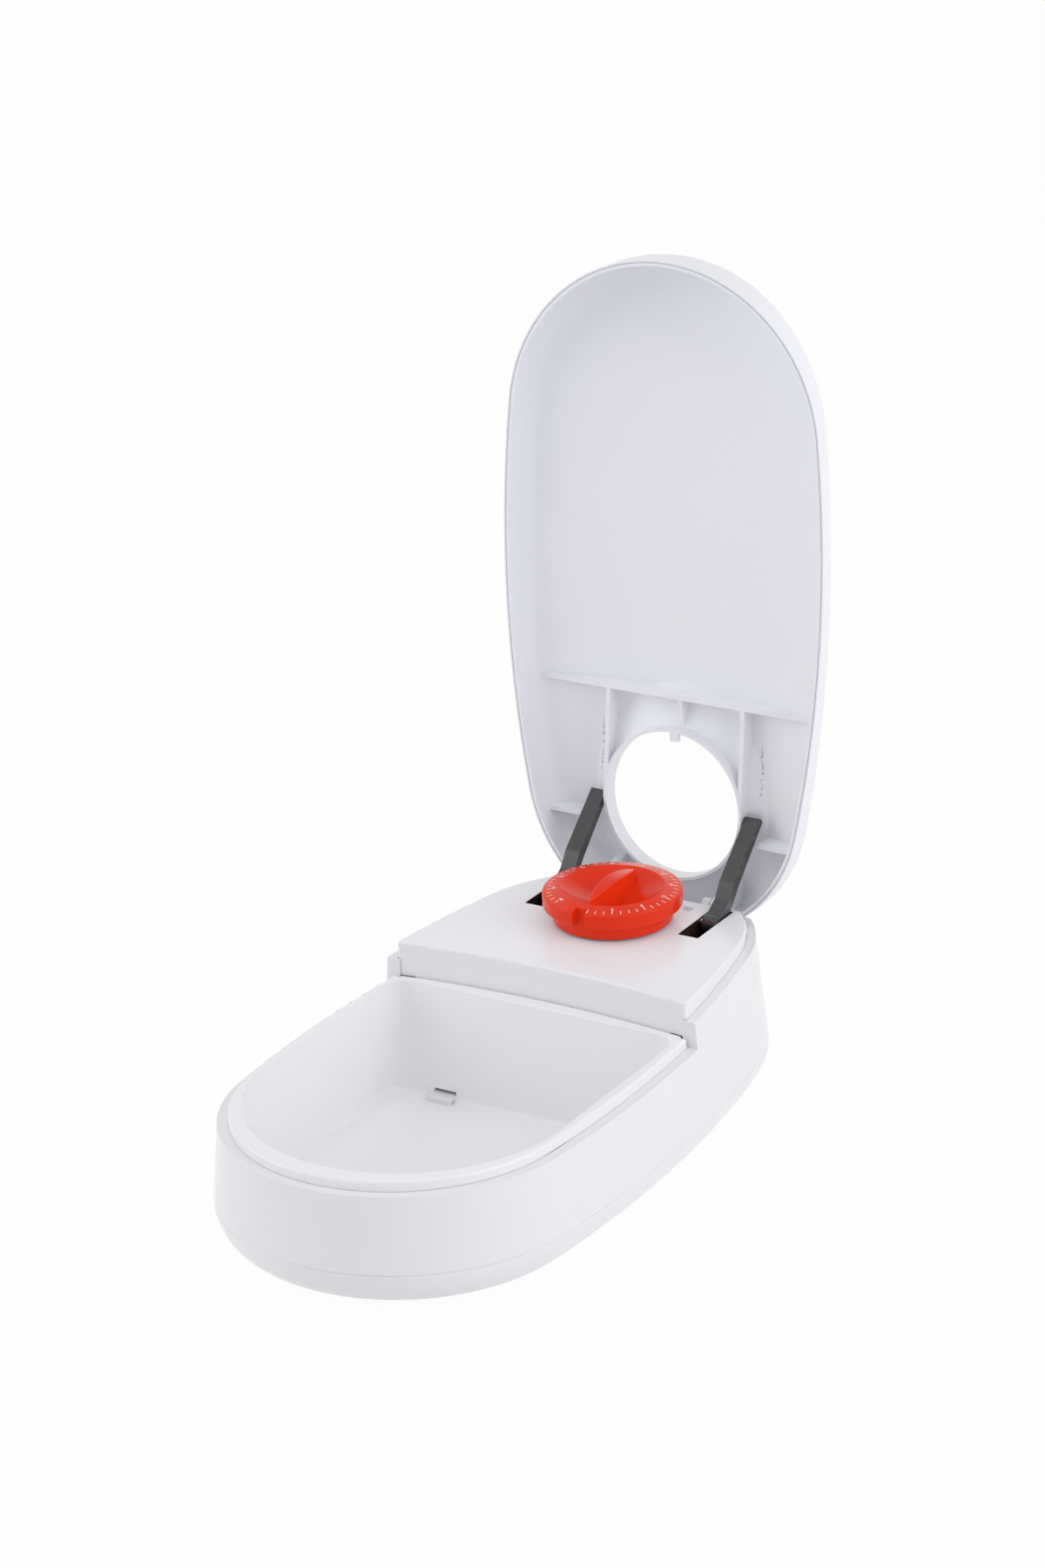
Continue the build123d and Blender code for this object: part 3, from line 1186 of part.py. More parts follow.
if __name__ == "__main__":
    os.makedirs("parts", exist_ok=True)
    for name, build in NODES.items():
        export_step(build(), f"parts/{name}.step")
    for name, side in (("left", -1), ("right", 1)):
        export_step(opening_arm(side), f"parts/opening_arm_{name}.step")
        export_step(arm_spring(side), f"parts/arm_spring_{name}.step")
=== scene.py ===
"""Looks of a timed pet feeder: moulded plastics, dial print, metal parts, light and camera."""

import json

import bpy
import numpy as np
from bpy.props import FloatProperty, FloatVectorProperty, IntProperty, PointerProperty
from mathutils import Matrix, Vector


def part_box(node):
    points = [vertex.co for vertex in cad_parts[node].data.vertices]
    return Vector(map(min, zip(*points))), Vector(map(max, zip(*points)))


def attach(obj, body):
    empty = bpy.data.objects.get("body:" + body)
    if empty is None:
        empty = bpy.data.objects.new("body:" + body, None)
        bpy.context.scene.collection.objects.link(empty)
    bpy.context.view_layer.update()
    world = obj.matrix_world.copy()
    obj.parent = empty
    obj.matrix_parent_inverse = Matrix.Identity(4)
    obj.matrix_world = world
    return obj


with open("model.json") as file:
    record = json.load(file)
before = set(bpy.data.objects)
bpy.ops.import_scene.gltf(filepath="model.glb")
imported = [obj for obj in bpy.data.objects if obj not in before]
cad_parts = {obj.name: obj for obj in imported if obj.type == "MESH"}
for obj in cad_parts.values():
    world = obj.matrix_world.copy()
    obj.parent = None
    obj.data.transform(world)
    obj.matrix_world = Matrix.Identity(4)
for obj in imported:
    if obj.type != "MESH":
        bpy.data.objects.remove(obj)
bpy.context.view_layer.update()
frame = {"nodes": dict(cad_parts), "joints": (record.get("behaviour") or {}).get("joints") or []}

bl_info = {
    "name": "Timed pet feeder",
    "version": (1, 0, 0),
    "blender": (4, 5, 0),
    "location": "View3D > Sidebar > Feeder",
    "description": "Finishes, dial print and stage for a timed pet feeder",
    "category": "Object",
}

MM = 0.001

# Dial's ring: distance from its axis and height of its inner and of its outer lip
RING_LIPS = ((22.3 * MM, 84.5 * MM), (29.9 * MM, 82.8 * MM))
# Numbers: height of a digit as a share of the font's size, how far its strokes are widened as a
# share of its height, and the steps along each of its curves
DIGIT_SHARE = 0.72
STROKE_SHARE = 0.012
DIGIT_STEPS = 3
# Ticks: corners across and along each, and a numbered hour's wedge, as widths of a tick: its
# outer end, and how much wider its inner end is
TICK_CORNERS = (3, 4)
WEDGE_TIP, WEDGE_SPREAD = 0.3, 1.9

# Painted shade inside the arms' slots in the deck: how far below the deck's top it begins, its half
# width, and its middle and half length from front to back
SLOT_SHADE_TOP = 0.25 * MM
SLOT_SHADE_HALF_WIDTH = 12 * MM
SLOT_SHADE_MIDDLE, SLOT_SHADE_HALF_LENGTH = 112 * MM, 21 * MM

# Marks rubbed on the lid's inside: distance from its middle, how far they wander, half width of
# their core and of their soft edge, and the heights over which they come and go
RUB_SIDE = 37.8 * MM
RUB_WANDER = 3 * MM
RUB_CORE, RUB_EDGE = 0.1 * MM, 0.7 * MM
RUB_COMES = (106 * MM, 114 * MM)
RUB_GOES = (124 * MM, 136 * MM)
RUB_STRENGTH = 0.75
# The lid's inside faces the front by more than this
INSIDE_FACING = -0.3

# Hair scratches and dust: how much of their tone shows, that tone as a share of the plastic's own,
# and a scratch's added roughness and its depth beside the grain's
SCRATCH_SHOWS, SCRATCH_TONE = 0.12, 0.55
SCRATCH_ROUGHNESS, SCRATCH_DEPTH = 0.25, 0.4
DUST_SHOWS, DUST_TONE = 0.5, 0.4
# Share of the deck's white in the light that the dial throws on the deck
DIAL_BOUNCE = 0.6
TARNISH = (0.1, 0.05, 0.02)

# Metals: colour setting, lowest and highest roughness, scale of the drawing lines along each axis
# (small where the line is long), strength of the tarnish spots, and the parts made of it
METALS = {
    "screw steel": (
        "steel", (0.29, 0.42), (1.0, 1.0, 0.3), 0.25, ("housing_screws", "timer_screws")
    ),
    "pin steel": ("steel", (0.15, 0.26), (0.08, 1.0, 1.0), 0.0, ("hinge_pins", "arm_pivot_pins")),
    "spring steel": (
        "steel", (0.18, 0.26), (0.08, 1.0, 1.0), 0.0, ("arm_spring_left", "arm_spring_right")
    ),
    "spindle steel": ("steel", (0.14, 0.26), (1.0, 1.0, 0.1), 0.0, ("dial_spindle", "dial_clip")),
    "contact nickel": (
        "nickel", (0.28, 0.38), (1.0, 1.0, 1.0), 0.3, ("contact_plate", "contact_spring")
    ),
    "bush brass": ("brass", (0.28, 0.38), (1.0, 1.0, 0.15), 0.2, ("dial_bush",)),
}

# Cell, as shares of its length: end of the bare minus end, start of the band, start of the bare
# plus end; and how far its colours run into each other
MINUS_END, BAND_START, PLUS_START = 0.015, 0.7, 0.96
CELL_SEAM = 0.3 * MM

# Floor: half its width and its tone. Camera: width of its sensor in mm and how far it sees.
FLOOR_REACH = 6.0
FLOOR_TONE = 0.92
SENSOR_WIDTH = 36.0
SIGHT_END = 50.0
# Lamps: place, side length and the setting that holds the power; all face one point
LAMPS = {
    "left lamp": ((-1.25, -0.75, 0.75), 1.3, "left"),
    "right lamp": ((1.45, 0.1, 0.7), 1.3, "right"),
    "top lamp": ((0.1, -0.2, 1.8), 1.5, "top"),
}
LAMP_TARGET = Vector((0.0, 0.02, 0.12))

FLOAT = "NodeSocketFloat"
COLOUR = "NodeSocketColor"


# ---------------------------------------------------------------- settings


def tone(red, green, blue):
    """Linear colour of a display tone given from 0 to 255."""
    display = np.array([red, green, blue]) / 255.0
    linear = np.where(display <= 0.04045, display / 12.92, ((display + 0.055) / 1.055) ** 2.4)
    return tuple(float(part) for part in linear)


def colour_property(name, description, *display):
    """A colour that a user may change, from its display tone."""
    return FloatVectorProperty(
        name=name,
        description=description,
        default=tone(*display),
        subtype="COLOR",
        min=0.0,
        max=1.0,
    )


def length_property(name, description, millimetres):
    """A length that a user may change, from millimetres."""
    return FloatProperty(
        name=name,
        description=description,
        default=millimetres * MM,
        min=0.0,
        unit="LENGTH",
        precision=5,
    )


def power_property(name, description, watts):
    """A lamp's power that a user may change."""
    return FloatProperty(name=name, description=description, default=watts, unit="POWER")


def angle_property(name, description, radians):
    """An angle that a user may change."""
    return FloatProperty(name=name, description=description, default=radians, unit="ROTATION")


class FeederColours(bpy.types.PropertyGroup):
    """Colours of the feeder's materials."""

    shell: colour_property("Shell", "White of the side wall and tray", 240, 240, 244)
    deck: colour_property("Deck", "White of the deck under the dial", 244, 243, 247)
    bowl: colour_property("Bowl", "White of the lift-out bowl", 246, 246, 249)
    catch: colour_property("Catch", "Clear plastic of the bowl's catch", 246, 247, 249)
    haze: colour_property("Catch haze", "Paler clouds in the catch's plastic", 253, 253, 254)
    lid: colour_property("Lid", "Cool white of the lid", 243, 244, 250)
    dial: colour_property("Dial", "Orange red of the dial", 234, 50, 8)
    ink: colour_property("Dial print", "White of the numbers and ticks", 246, 226, 214)
    arm: colour_property("Arms", "Dark grey of the opening arms", 52, 52, 54)
    rubber: colour_property("Feet", "Grey of the rubber feet", 70, 71, 74)
    steel: colour_property("Steel", "Colour of pins, screws and springs", 196, 196, 194)
    nickel: colour_property("Contacts", "Colour of the nickel-plated contacts", 205, 202, 192)
    brass: colour_property("Brass", "Colour of the dial's bush", 201, 166, 92)
    copper: colour_property("Copper", "Colour of the coil's enamelled wire", 166, 88, 44)
    case: colour_property("Timer case", "Milky white of the movement case", 222, 221, 214)
    gear: colour_property("Gears", "White of the gears", 232, 228, 214)
    board: colour_property("Circuit board", "Green of the board's lacquer", 38, 92, 62)
    jacket: colour_property("Cell jacket", "Dark colour of the cell's sleeve", 44, 48, 56)
    band: colour_property("Cell band", "Copper colour of the cell's band", 190, 128, 66)
    scuff: colour_property("Rub marks", "Grey left on the lid by the arms", 92, 92, 96)
    # Slot: colour of the painted shade deep in the arms' slots, where there is no dark plastic
    slot: colour_property("Slot", "Dark plastic deep in the arms' slots", 60, 40, 36)


class DialScale(bpy.types.PropertyGroup):
    """Hour scale printed on the dial's sloping ring."""

    hours: IntProperty(
        name="Hours", description="Hours in one turn of the dial", default=48, min=12
    )
    number_step: IntProperty(
        name="Number step", description="Hours between numbers", default=4, min=1
    )
    last_tick: IntProperty(
        name="Last tick", description="Last hour with a tick", default=44, min=1
    )
    number_height: length_property("Number height", "Height of a printed number", 1.7)
    number_foot: length_property("Number foot", "Distance of the numbers' feet from the axis", 25.7)
    tick_inner: length_property("Tick start", "Distance of a tick's inner end from the axis", 26.2)
    tick_outer: length_property("Tick end", "Distance of a tick's outer end from the axis", 28.3)
    tick_width: length_property("Tick width", "Width of a printed tick", 0.34)
    ink_height: length_property("Ink height", "How far the print stands proud", 0.05)


class StageLight(bpy.types.PropertyGroup):
    """Light, floor and camera of the studio."""

    room: FloatProperty(
        name="Room light", description="Even light from all round", default=0.53, min=0.0
    )
    left: power_property("Left lamp", "Power of the soft lamp on the left", 7.0)
    right: power_property("Right lamp", "Power of the soft lamp on the right", 9.0)
    top: power_property("Top lamp", "Power of the soft lamp above", 4.0)
    floor_lift: FloatProperty(
        name="Floor white",
        description="Share of plain white in the floor",
        default=0.96,
        min=0.0,
        max=1.0,
    )
    lens: FloatProperty(
        name="Lens", description="Focal length in millimetres", default=154.8, min=1.0
    )
    azimuth: angle_property("Azimuth", "Camera's turn round the feeder", 0.560146)
    elevation: angle_property("Elevation", "Camera's angle downward", 0.378719)
    roll: angle_property("Roll", "Camera's tilt about its own view", -0.039479)
    place: FloatVectorProperty(
        name="Camera place",
        description="Where the camera stands",
        default=(0.8995, -1.4002, 0.8288),
        unit="LENGTH",
    )


# ---------------------------------------------------------------- node tools


def add(tree, kind, **options):
    """One shader node; options are its own, or values of its inputs by name with _ for a space."""
    node = tree.nodes.new(kind)
    for key, value in options.items():
        if hasattr(node, key):
            setattr(node, key, value)
        else:
            node.inputs[key.replace("_", " ")].default_value = value
    return node


def put(tree, socket, value):
    """Gives an input a link, a number or a colour of three parts."""
    if isinstance(value, bpy.types.NodeSocket):
        tree.links.new(value, socket)
    else:
        socket.default_value = value if isinstance(value, (int, float)) else (*value, 1.0)


def maths(tree, operation, *values, clamp=False):
    """Output of a Math node; its values are sockets or numbers."""
    node = add(tree, "ShaderNodeMath", operation=operation, use_clamp=clamp)
    for socket, value in zip(node.inputs, values):
        put(tree, socket, value)
    return node.outputs[0]


def ramp(tree, value, low, high, start=0.0, end=1.0):
    """Smooth step from start to end as a value goes from low to high."""
    node = add(tree, "ShaderNodeMapRange", interpolation_type="SMOOTHSTEP")
    tree.links.new(value, node.inputs["Value"])
    for name, number in (("From Min", low), ("From Max", high), ("To Min", start), ("To Max", end)):
        put(tree, node.inputs[name], number)
    return node.outputs["Result"]


def blend_colour(tree, share, first, second, mode="MIX"):
    """Output of a colour Mix node; share is a socket or number, the others sockets or colours."""
    node = add(tree, "ShaderNodeMix", data_type="RGBA", blend_type=mode)
    # A Mix node has inputs for each kind of value: those for colours are the seventh and eighth
    for index, value in ((0, share), (6, first), (7, second)):
        put(tree, node.inputs[index], value)
    return node.outputs[2]


def spot(tree):
    """Place on the object of the point being shaded."""
    return add(tree, "ShaderNodeTexCoord").outputs["Object"]


def axes(tree, vector):
    """The three parts of a vector."""
    node = add(tree, "ShaderNodeSeparateXYZ")
    tree.links.new(vector, node.inputs[0])
    return node.outputs


def stretched(tree, vector, scale, rotation=(0.0, 0.0, 0.0)):
    """A place whose pattern is drawn out along the axes with a small scale."""
    node = add(tree, "ShaderNodeMapping", Rotation=rotation, Scale=scale)
    tree.links.new(vector, node.inputs["Vector"])
    return node.outputs[0]


def noise(tree, vector, scale, detail=2.0, roughness=0.5, distortion=0.0):
    """Noise value at a scale given per metre."""
    node = add(
        tree,
        "ShaderNodeTexNoise",
        Scale=scale,
        Detail=detail,
        Roughness=roughness,
        Distortion=distortion,
    )
    tree.links.new(vector, node.inputs["Vector"])
    return node.outputs["Fac"]


def cell_pattern(tree, vector, feature, scale):
    """Outputs of a pattern of random cells; scale is a socket."""
    node = add(tree, "ShaderNodeTexVoronoi", feature=feature, Randomness=1.0)
    tree.links.new(vector, node.inputs["Vector"])
    tree.links.new(scale, node.inputs["Scale"])
    return node.outputs


def times(colour, factor, lift=0.0):
    """A colour made darker or paler, up to white."""
    return tuple(min(1.0, part * factor + lift) for part in colour)


# ---------------------------------------------------------------- shared effects


def new_group(name, inputs, outputs):
    """Empty shader node group with named sockets; returns its tree, its inputs and its outputs."""
    tree = bpy.data.node_groups.new(name, "ShaderNodeTree")
    for label, kind, default in inputs:
        socket = tree.interface.new_socket(name=label, in_out="INPUT", socket_type=kind)
        socket.default_value = default
    for label, kind in outputs:
        tree.interface.new_socket(name=label, in_out="OUTPUT", socket_type=kind)
    given = tree.nodes.new("NodeGroupInput").outputs
    result = tree.nodes.new("NodeGroupOutput").inputs
    return tree, given, result


def moulding_group():
    """Moulded plastic: slow tone drift from the melt's flow, uneven gloss and fine mould grain."""
    tree, given, result = new_group(
        "Moulded plastic",
        [
            ("Colour", COLOUR, (0.8, 0.8, 0.8, 1.0)),
            ("Flow", FLOAT, 0.03),
            ("Gloss low", FLOAT, 0.2),
            ("Gloss high", FLOAT, 0.3),
            ("Grain", FLOAT, 1.0),
        ],
        [("Colour", COLOUR), ("Roughness", FLOAT), ("Height", FLOAT)],
    )
    place = spot(tree)
    flow = noise(tree, place, scale=14.0, detail=3.0, roughness=0.55, distortion=0.6)
    cloud = noise(tree, place, scale=55.0, detail=4.0)
    grain = noise(tree, place, scale=2400.0, detail=3.0, roughness=0.6)
    ripple = noise(tree, place, scale=95.0, detail=1.0)

    drift = maths(tree, "MULTIPLY", maths(tree, "SUBTRACT", flow, 0.5), given["Flow"])
    shade = maths(tree, "ADD", drift, 1.0)
    grey = add(tree, "ShaderNodeCombineColor")
    for channel in grey.inputs:
        tree.links.new(shade, channel)
    toned = blend_colour(tree, 1.0, given["Colour"], grey.outputs[0], "MULTIPLY")
    tree.links.new(toned, result["Colour"])
    gloss = ramp(tree, cloud, 0.35, 0.68, given["Gloss low"], given["Gloss high"])
    tree.links.new(gloss, result["Roughness"])
    fine = maths(tree, "MULTIPLY", grain, given["Grain"])
    height = maths(tree, "ADD", fine, maths(tree, "MULTIPLY", ripple, 0.2))
    tree.links.new(height, result["Height"])


def scratch_group():
    """Hair scratches: thin edges of stretched cells, kept only in drifting patches."""
    tree, given, result = new_group(
        "Hair scratches",
        [("Cells", FLOAT, 60.0), ("Width", FLOAT, 0.012), ("Amount", FLOAT, 0.5)],
        [("Mask", FLOAT)],
    )
    place = spot(tree)
    drawn = stretched(tree, place, (1.0, 0.22, 0.6), (0.4, 0.9, 0.7))
    cells = cell_pattern(tree, drawn, "DISTANCE_TO_EDGE", given["Cells"])
    line = ramp(tree, cells["Distance"], 0.0, given["Width"], 1.0, 0.0)
    patch = ramp(tree, noise(tree, place, scale=48.0), 0.56, 0.66)
    both = maths(tree, "MULTIPLY", line, patch)
    tree.links.new(maths(tree, "MULTIPLY", both, given["Amount"]), result["Mask"])


def edge_group():
    """Edges that are partly worn and partly given a painted highlight: where a rounded normal
    leaves the true one, broken up by noise.
    """
    tree, given, result = new_group(
        "Edge wear", [("Strength", FLOAT, 1.0), ("Break up", FLOAT, 0.5)], [("Mask", FLOAT)]
    )
    rounded = add(tree, "ShaderNodeBevel", samples=4, Radius=0.5 * MM)
    flat = add(tree, "ShaderNodeNewGeometry")
    likeness = add(tree, "ShaderNodeVectorMath", operation="DOT_PRODUCT")
    tree.links.new(rounded.outputs[0], likeness.inputs[0])
    tree.links.new(flat.outputs["Normal"], likeness.inputs[1])
    turn = maths(tree, "SUBTRACT", 1.0, likeness.outputs["Value"])
    edge = ramp(tree, turn, 0.01, 0.16)
    chips = ramp(tree, noise(tree, spot(tree), scale=420.0, detail=3.0), given["Break up"], 0.72)
    wear_and_highlight = maths(tree, "MULTIPLY", edge, chips)
    shown = maths(tree, "MULTIPLY", wear_and_highlight, given["Strength"], clamp=True)
    tree.links.new(shown, result["Mask"])


def speck_group():
    """Dust specks: the middles of a few cells of a fine cell pattern."""
    tree, given, result = new_group(
        "Dust specks",
        [("Cells", FLOAT, 160.0), ("Size", FLOAT, 0.06), ("Share", FLOAT, 0.03)],
        [("Mask", FLOAT)],
    )
    cells = cell_pattern(tree, spot(tree), "F1", given["Cells"])
    speck = ramp(tree, cells["Distance"], 0.0, given["Size"], 1.0, 0.0)
    lot = add(tree, "ShaderNodeSeparateColor")
    tree.links.new(cells["Color"], lot.inputs[0])
    chosen = maths(tree, "LESS_THAN", lot.outputs[0], given["Share"])
    tree.links.new(maths(tree, "MULTIPLY", speck, chosen), result["Mask"])


GROUP_MAKERS = {
    "Moulded plastic": moulding_group,
    "Hair scratches": scratch_group,
    "Edge wear": edge_group,
    "Dust specks": speck_group,
}


def effect(tree, name, **values):
    """Outputs of a shared effect, placed in a material with its own values."""
    if name not in bpy.data.node_groups:
        GROUP_MAKERS[name]()
    node = add(tree, "ShaderNodeGroup", node_tree=bpy.data.node_groups[name], label=name)
    for key, value in values.items():
        node.inputs[key.replace("_", " ")].default_value = value
    return node.outputs


# ---------------------------------------------------------------- materials
#
# A plastic's or metal's roughness stays on one side of 0.27 all over: a render's noise filter
# treats duller and glossier surfaces apart, and leaves flecks where both meet on one part.


def new_material(name, **values):
    """Material with one Principled shader, and values on the shader's own sockets."""
    material = bpy.data.materials.new(name)
    material.use_nodes = True
    shader = material.node_tree.nodes["Principled BSDF"]
    for key, value in values.items():
        shader.inputs[key.replace("_", " ")].default_value = value
    return material, material.node_tree, shader


def feed(tree, shader, **values):
    """Links values to the shader's sockets, by name with _ for a space."""
    for key, value in values.items():
        tree.links.new(value, shader.inputs[key.replace("_", " ")])


def bumped(tree, shader, height, strength, distance):
    """Feeds a height to the shader's normal."""
    bump = add(tree, "ShaderNodeBump", Strength=strength, Distance=distance)
    tree.links.new(height, bump.inputs["Height"])
    feed(tree, shader, Normal=bump.outputs[0])


def moulding(tree, colour, flow, gloss, grain):
    """Outputs of the moulded plastic's effect; gloss is its lowest and highest roughness."""
    return effect(
        tree,
        "Moulded plastic",
        Colour=(*colour, 1.0),
        Flow=flow,
        Gloss_low=gloss[0],
        Gloss_high=gloss[1],
        Grain=grain,
    )


def moulded(
    name, colour, flow, gloss, grain, scratches=0.15, specks=0.01, wear_and_highlight=None, **shader_values
):
    """Moulded plastic with hair scratches and dust; the edge colour, when given, makes the edges
    paler: partly wear, partly a painted highlight.

    Returns the material, its tree, its shader and the colour that feeds the shader.
    """
    material, tree, shader = new_material(name, **shader_values)
    base = moulding(tree, colour, flow, gloss, grain)
    hairs = effect(tree, "Hair scratches", Amount=scratches)[0]
    dust = effect(tree, "Dust specks", Share=specks)[0]
    surface = base["Colour"]
    if wear_and_highlight is not None:
        # Paler edges: partly wear, partly a painted highlight
        edges = effect(tree, "Edge wear", Strength=0.7, Break_up=0.38)[0]
        surface = blend_colour(tree, edges, surface, wear_and_highlight)
    for mask, shows, share in ((hairs, SCRATCH_SHOWS, SCRATCH_TONE), (dust, DUST_SHOWS, DUST_TONE)):
        shown = maths(tree, "MULTIPLY", mask, shows)
        surface = blend_colour(tree, shown, surface, times(colour, share))
    duller = maths(tree, "MULTIPLY", hairs, SCRATCH_ROUGHNESS)
    rough = maths(tree, "ADD", base["Roughness"], duller, clamp=True)
    feed(tree, shader, Base_Color=surface, Roughness=rough)
    groove = maths(tree, "MULTIPLY", hairs, SCRATCH_DEPTH)
    height = maths(tree, "SUBTRACT", base["Height"], groove)
    bumped(tree, shader, height, strength=0.05, distance=0.01 * MM)
    return material, tree, shader, surface


def metal(name, colour, gloss, drawn, spotted):
    """Metal with fine drawing lines along its long direction, and a few tarnish spots."""
    material, tree, shader = new_material(name, Metallic=1.0)
    place = spot(tree)
    lines = noise(tree, stretched(tree, place, drawn), scale=1800.0, detail=3.0, roughness=0.6)
    stain = ramp(tree, noise(tree, place, scale=260.0, detail=4.0), 0.6, 0.75, 0.0, spotted)
    surface = blend_colour(tree, ramp(tree, lines, 0.35, 0.7), colour, times(colour, 0.72))
    shine = ramp(tree, lines, 0.3, 0.7, *gloss)
    rough = maths(tree, "ADD", shine, maths(tree, "MULTIPLY", stain, 0.4), clamp=True)
    stained = blend_colour(tree, stain, surface, TARNISH)
    feed(tree, shader, Base_Color=stained, Roughness=rough)
    bumped(tree, shader, lines, strength=0.3, distance=0.02 * MM)
    return material


def paint(material, *names):
    """Gives a material to every slot of these model parts."""
    for name in names:
        part = frame["nodes"][name]
        if not part.material_slots:
            part.data.materials.append(material)
        for place in part.material_slots:
            place.material = material


# ---------------------------------------------------------------- outside plastics


def slots_darkened(tree, surface, dark):
    """Surface colour with painted shade inside the arms' slots: below the deck's top and by the
    arms.
    """
    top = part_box("deck_housing")[1].z
    low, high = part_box("opening_arm_right")
    x, y, z = axes(tree, spot(tree))
    under = maths(tree, "LESS_THAN", z, top - SLOT_SHADE_TOP)
    side = maths(tree, "ABSOLUTE", x)
    near = maths(tree, "COMPARE", side, (low.x + high.x) / 2, SLOT_SHADE_HALF_WIDTH)
    along = maths(tree, "COMPARE", y, SLOT_SHADE_MIDDLE, SLOT_SHADE_HALF_LENGTH)
    inside = maths(tree, "MULTIPLY", maths(tree, "MULTIPLY", under, near), along)
    return blend_colour(tree, inside, surface, dark)


class FEEDER_OT_body(bpy.types.Operator):
    """Finish the white mouldings: side wall, tray, deck and bowl"""

    bl_idname = "feeder.body"
    bl_label = "Body plastics"

    def execute(self, context):
        colours = context.scene.feeder_colours
        shell, *_ = moulded(
            "shell plastic", colours.shell, flow=0.02, gloss=(0.15, 0.23), grain=0.8
        )
        paint(shell, "outer_shell", "bottom_tray", "battery_door")

        deck, tree, shader, surface = moulded(
            "deck plastic",
            colours.deck,
            flow=0.015,
            gloss=(0.17, 0.24),
            grain=0.3,
            Specular_IOR_Level=0.25,
        )
        # Painted shade inside the arms' slots
        feed(tree, shader, Base_Color=slots_darkened(tree, surface, colours.slot))
        paint(deck, "deck_housing")

        bowl, *_ = moulded("bowl plastic", colours.bowl, flow=0.02, gloss=(0.15, 0.23), grain=0.5)
        paint(bowl, "food_bowl")

        clear, tree, shader = new_material(
            "catch clear", Transmission_Weight=0.12, IOR=1.49, Specular_IOR_Level=0.6
        )
        haze = noise(tree, spot(tree), scale=900.0)
        clouded = blend_colour(tree, haze, colours.catch, colours.haze)
        feed(tree, shader, Base_Color=clouded, Roughness=ramp(tree, haze, 0.3, 0.7, 0.08, 0.22))
        paint(clear, "bowl_catch")
        return {"FINISHED"}


class FEEDER_OT_lid(bpy.types.Operator):
    """Finish the lid and the marks that the arms' tips rub on its inside"""

    bl_idname = "feeder.lid"
    bl_label = "Lid"

    def execute(self, context):
        colours = context.scene.feeder_colours
        lid, tree, shader, surface = moulded(
            "lid plastic", colours.lid, flow=0.03, gloss=(0.29, 0.37), grain=0.6
        )
        point = add(tree, "ShaderNodeTexCoord").outputs
        x, _, z = axes(tree, point["Object"])
        _, facing, _ = axes(tree, point["Normal"])
        wander = maths(tree, "MULTIPLY", noise(tree, point["Object"], scale=70.0), RUB_WANDER)
        side = maths(tree, "SUBTRACT", maths(tree, "ABSOLUTE", x), wander)
        off = maths(tree, "ABSOLUTE", maths(tree, "SUBTRACT", side, RUB_SIDE))
        marks = (
            ramp(tree, off, RUB_CORE, RUB_EDGE, 1.0, 0.0),
            ramp(tree, z, *RUB_COMES),
            ramp(tree, z, *RUB_GOES, 1.0, 0.0),
            maths(tree, "LESS_THAN", facing, INSIDE_FACING),
            ramp(tree, noise(tree, point["Object"], scale=900.0), 0.42, 0.6),
        )
        rub = RUB_STRENGTH
        for mask in marks:
            rub = maths(tree, "MULTIPLY", mask, rub)
        feed(tree, shader, Base_Color=blend_colour(tree, rub, surface, colours.scuff))
        paint(lid, "lid")
        return {"FINISHED"}


class FEEDER_OT_arms(bpy.types.Operator):
    """Finish the dark opening arms with their spark-eroded grain"""

    bl_idname = "feeder.arms"
    bl_label = "Opening arms"

    def execute(self, context):
        colours = context.scene.feeder_colours
        material, tree, shader = new_material("arm plastic", Specular_IOR_Level=0.6)
        base = moulding(tree, colours.arm, flow=0.3, gloss=(0.17, 0.26), grain=1.0)
        drawn = stretched(tree, spot(tree), (1.0, 0.25, 0.25))
        streaks = noise(tree, drawn, scale=1500.0, detail=3.0, roughness=0.6)
        edges = effect(tree, "Edge wear", Strength=0.6, Break_up=0.4)[0]
        dull, pale = times(colours.arm, 1.5), times(colours.arm, 2.6)
        surface = blend_colour(tree, ramp(tree, streaks, 0.42, 0.72), base["Colour"], dull)
        # Pale edges: partly wear, partly a painted highlight
        surface = blend_colour(tree, edges, surface, pale)
        feed(tree, shader, Base_Color=surface, Roughness=base["Roughness"])
        height = maths(tree, "ADD", base["Height"], maths(tree, "MULTIPLY", streaks, 1.5))
        bumped(tree, shader, height, strength=0.5, distance=0.08 * MM)
        paint(material, "opening_arm_left", "opening_arm_right")
        return {"FINISHED"}


# ---------------------------------------------------------------- dial and its print


class FEEDER_OT_dial(bpy.types.Operator):
    """Finish the orange dial"""

    bl_idname = "feeder.dial"
    bl_label = "Dial"

    def execute(self, context):
        colours = context.scene.feeder_colours
        dial, tree, shader, surface = moulded(
            "dial plastic",
            colours.dial,
            flow=0.05,
            gloss=(0.13, 0.2),
            grain=0.6,
            scratches=0.2,
            specks=0.02,
            # Paler orange edges: partly wear, partly a painted highlight
            wear_and_highlight=times(colours.dial, 1.15, 0.03),
            Specular_IOR_Level=0.2,
        )
        # The white deck takes only a little of the dial's colour, as under soft light all round
        path = add(tree, "ShaderNodeLightPath").outputs
        bounce = maths(tree, "MULTIPLY", path["Is Diffuse Ray"], DIAL_BOUNCE)
        feed(tree, shader, Base_Color=blend_colour(tree, bounce, surface, colours.deck))
        paint(dial, "dial")
        return {"FINISHED"}


def ring_height(radius):
    """Height of the dial's sloping ring at distances from its axis: a cone between its two lips."""
    (crest_reach, crest_height), (rim_reach, rim_height) = RING_LIPS
    return np.interp(radius, [crest_reach, rim_reach], [crest_height, rim_height])


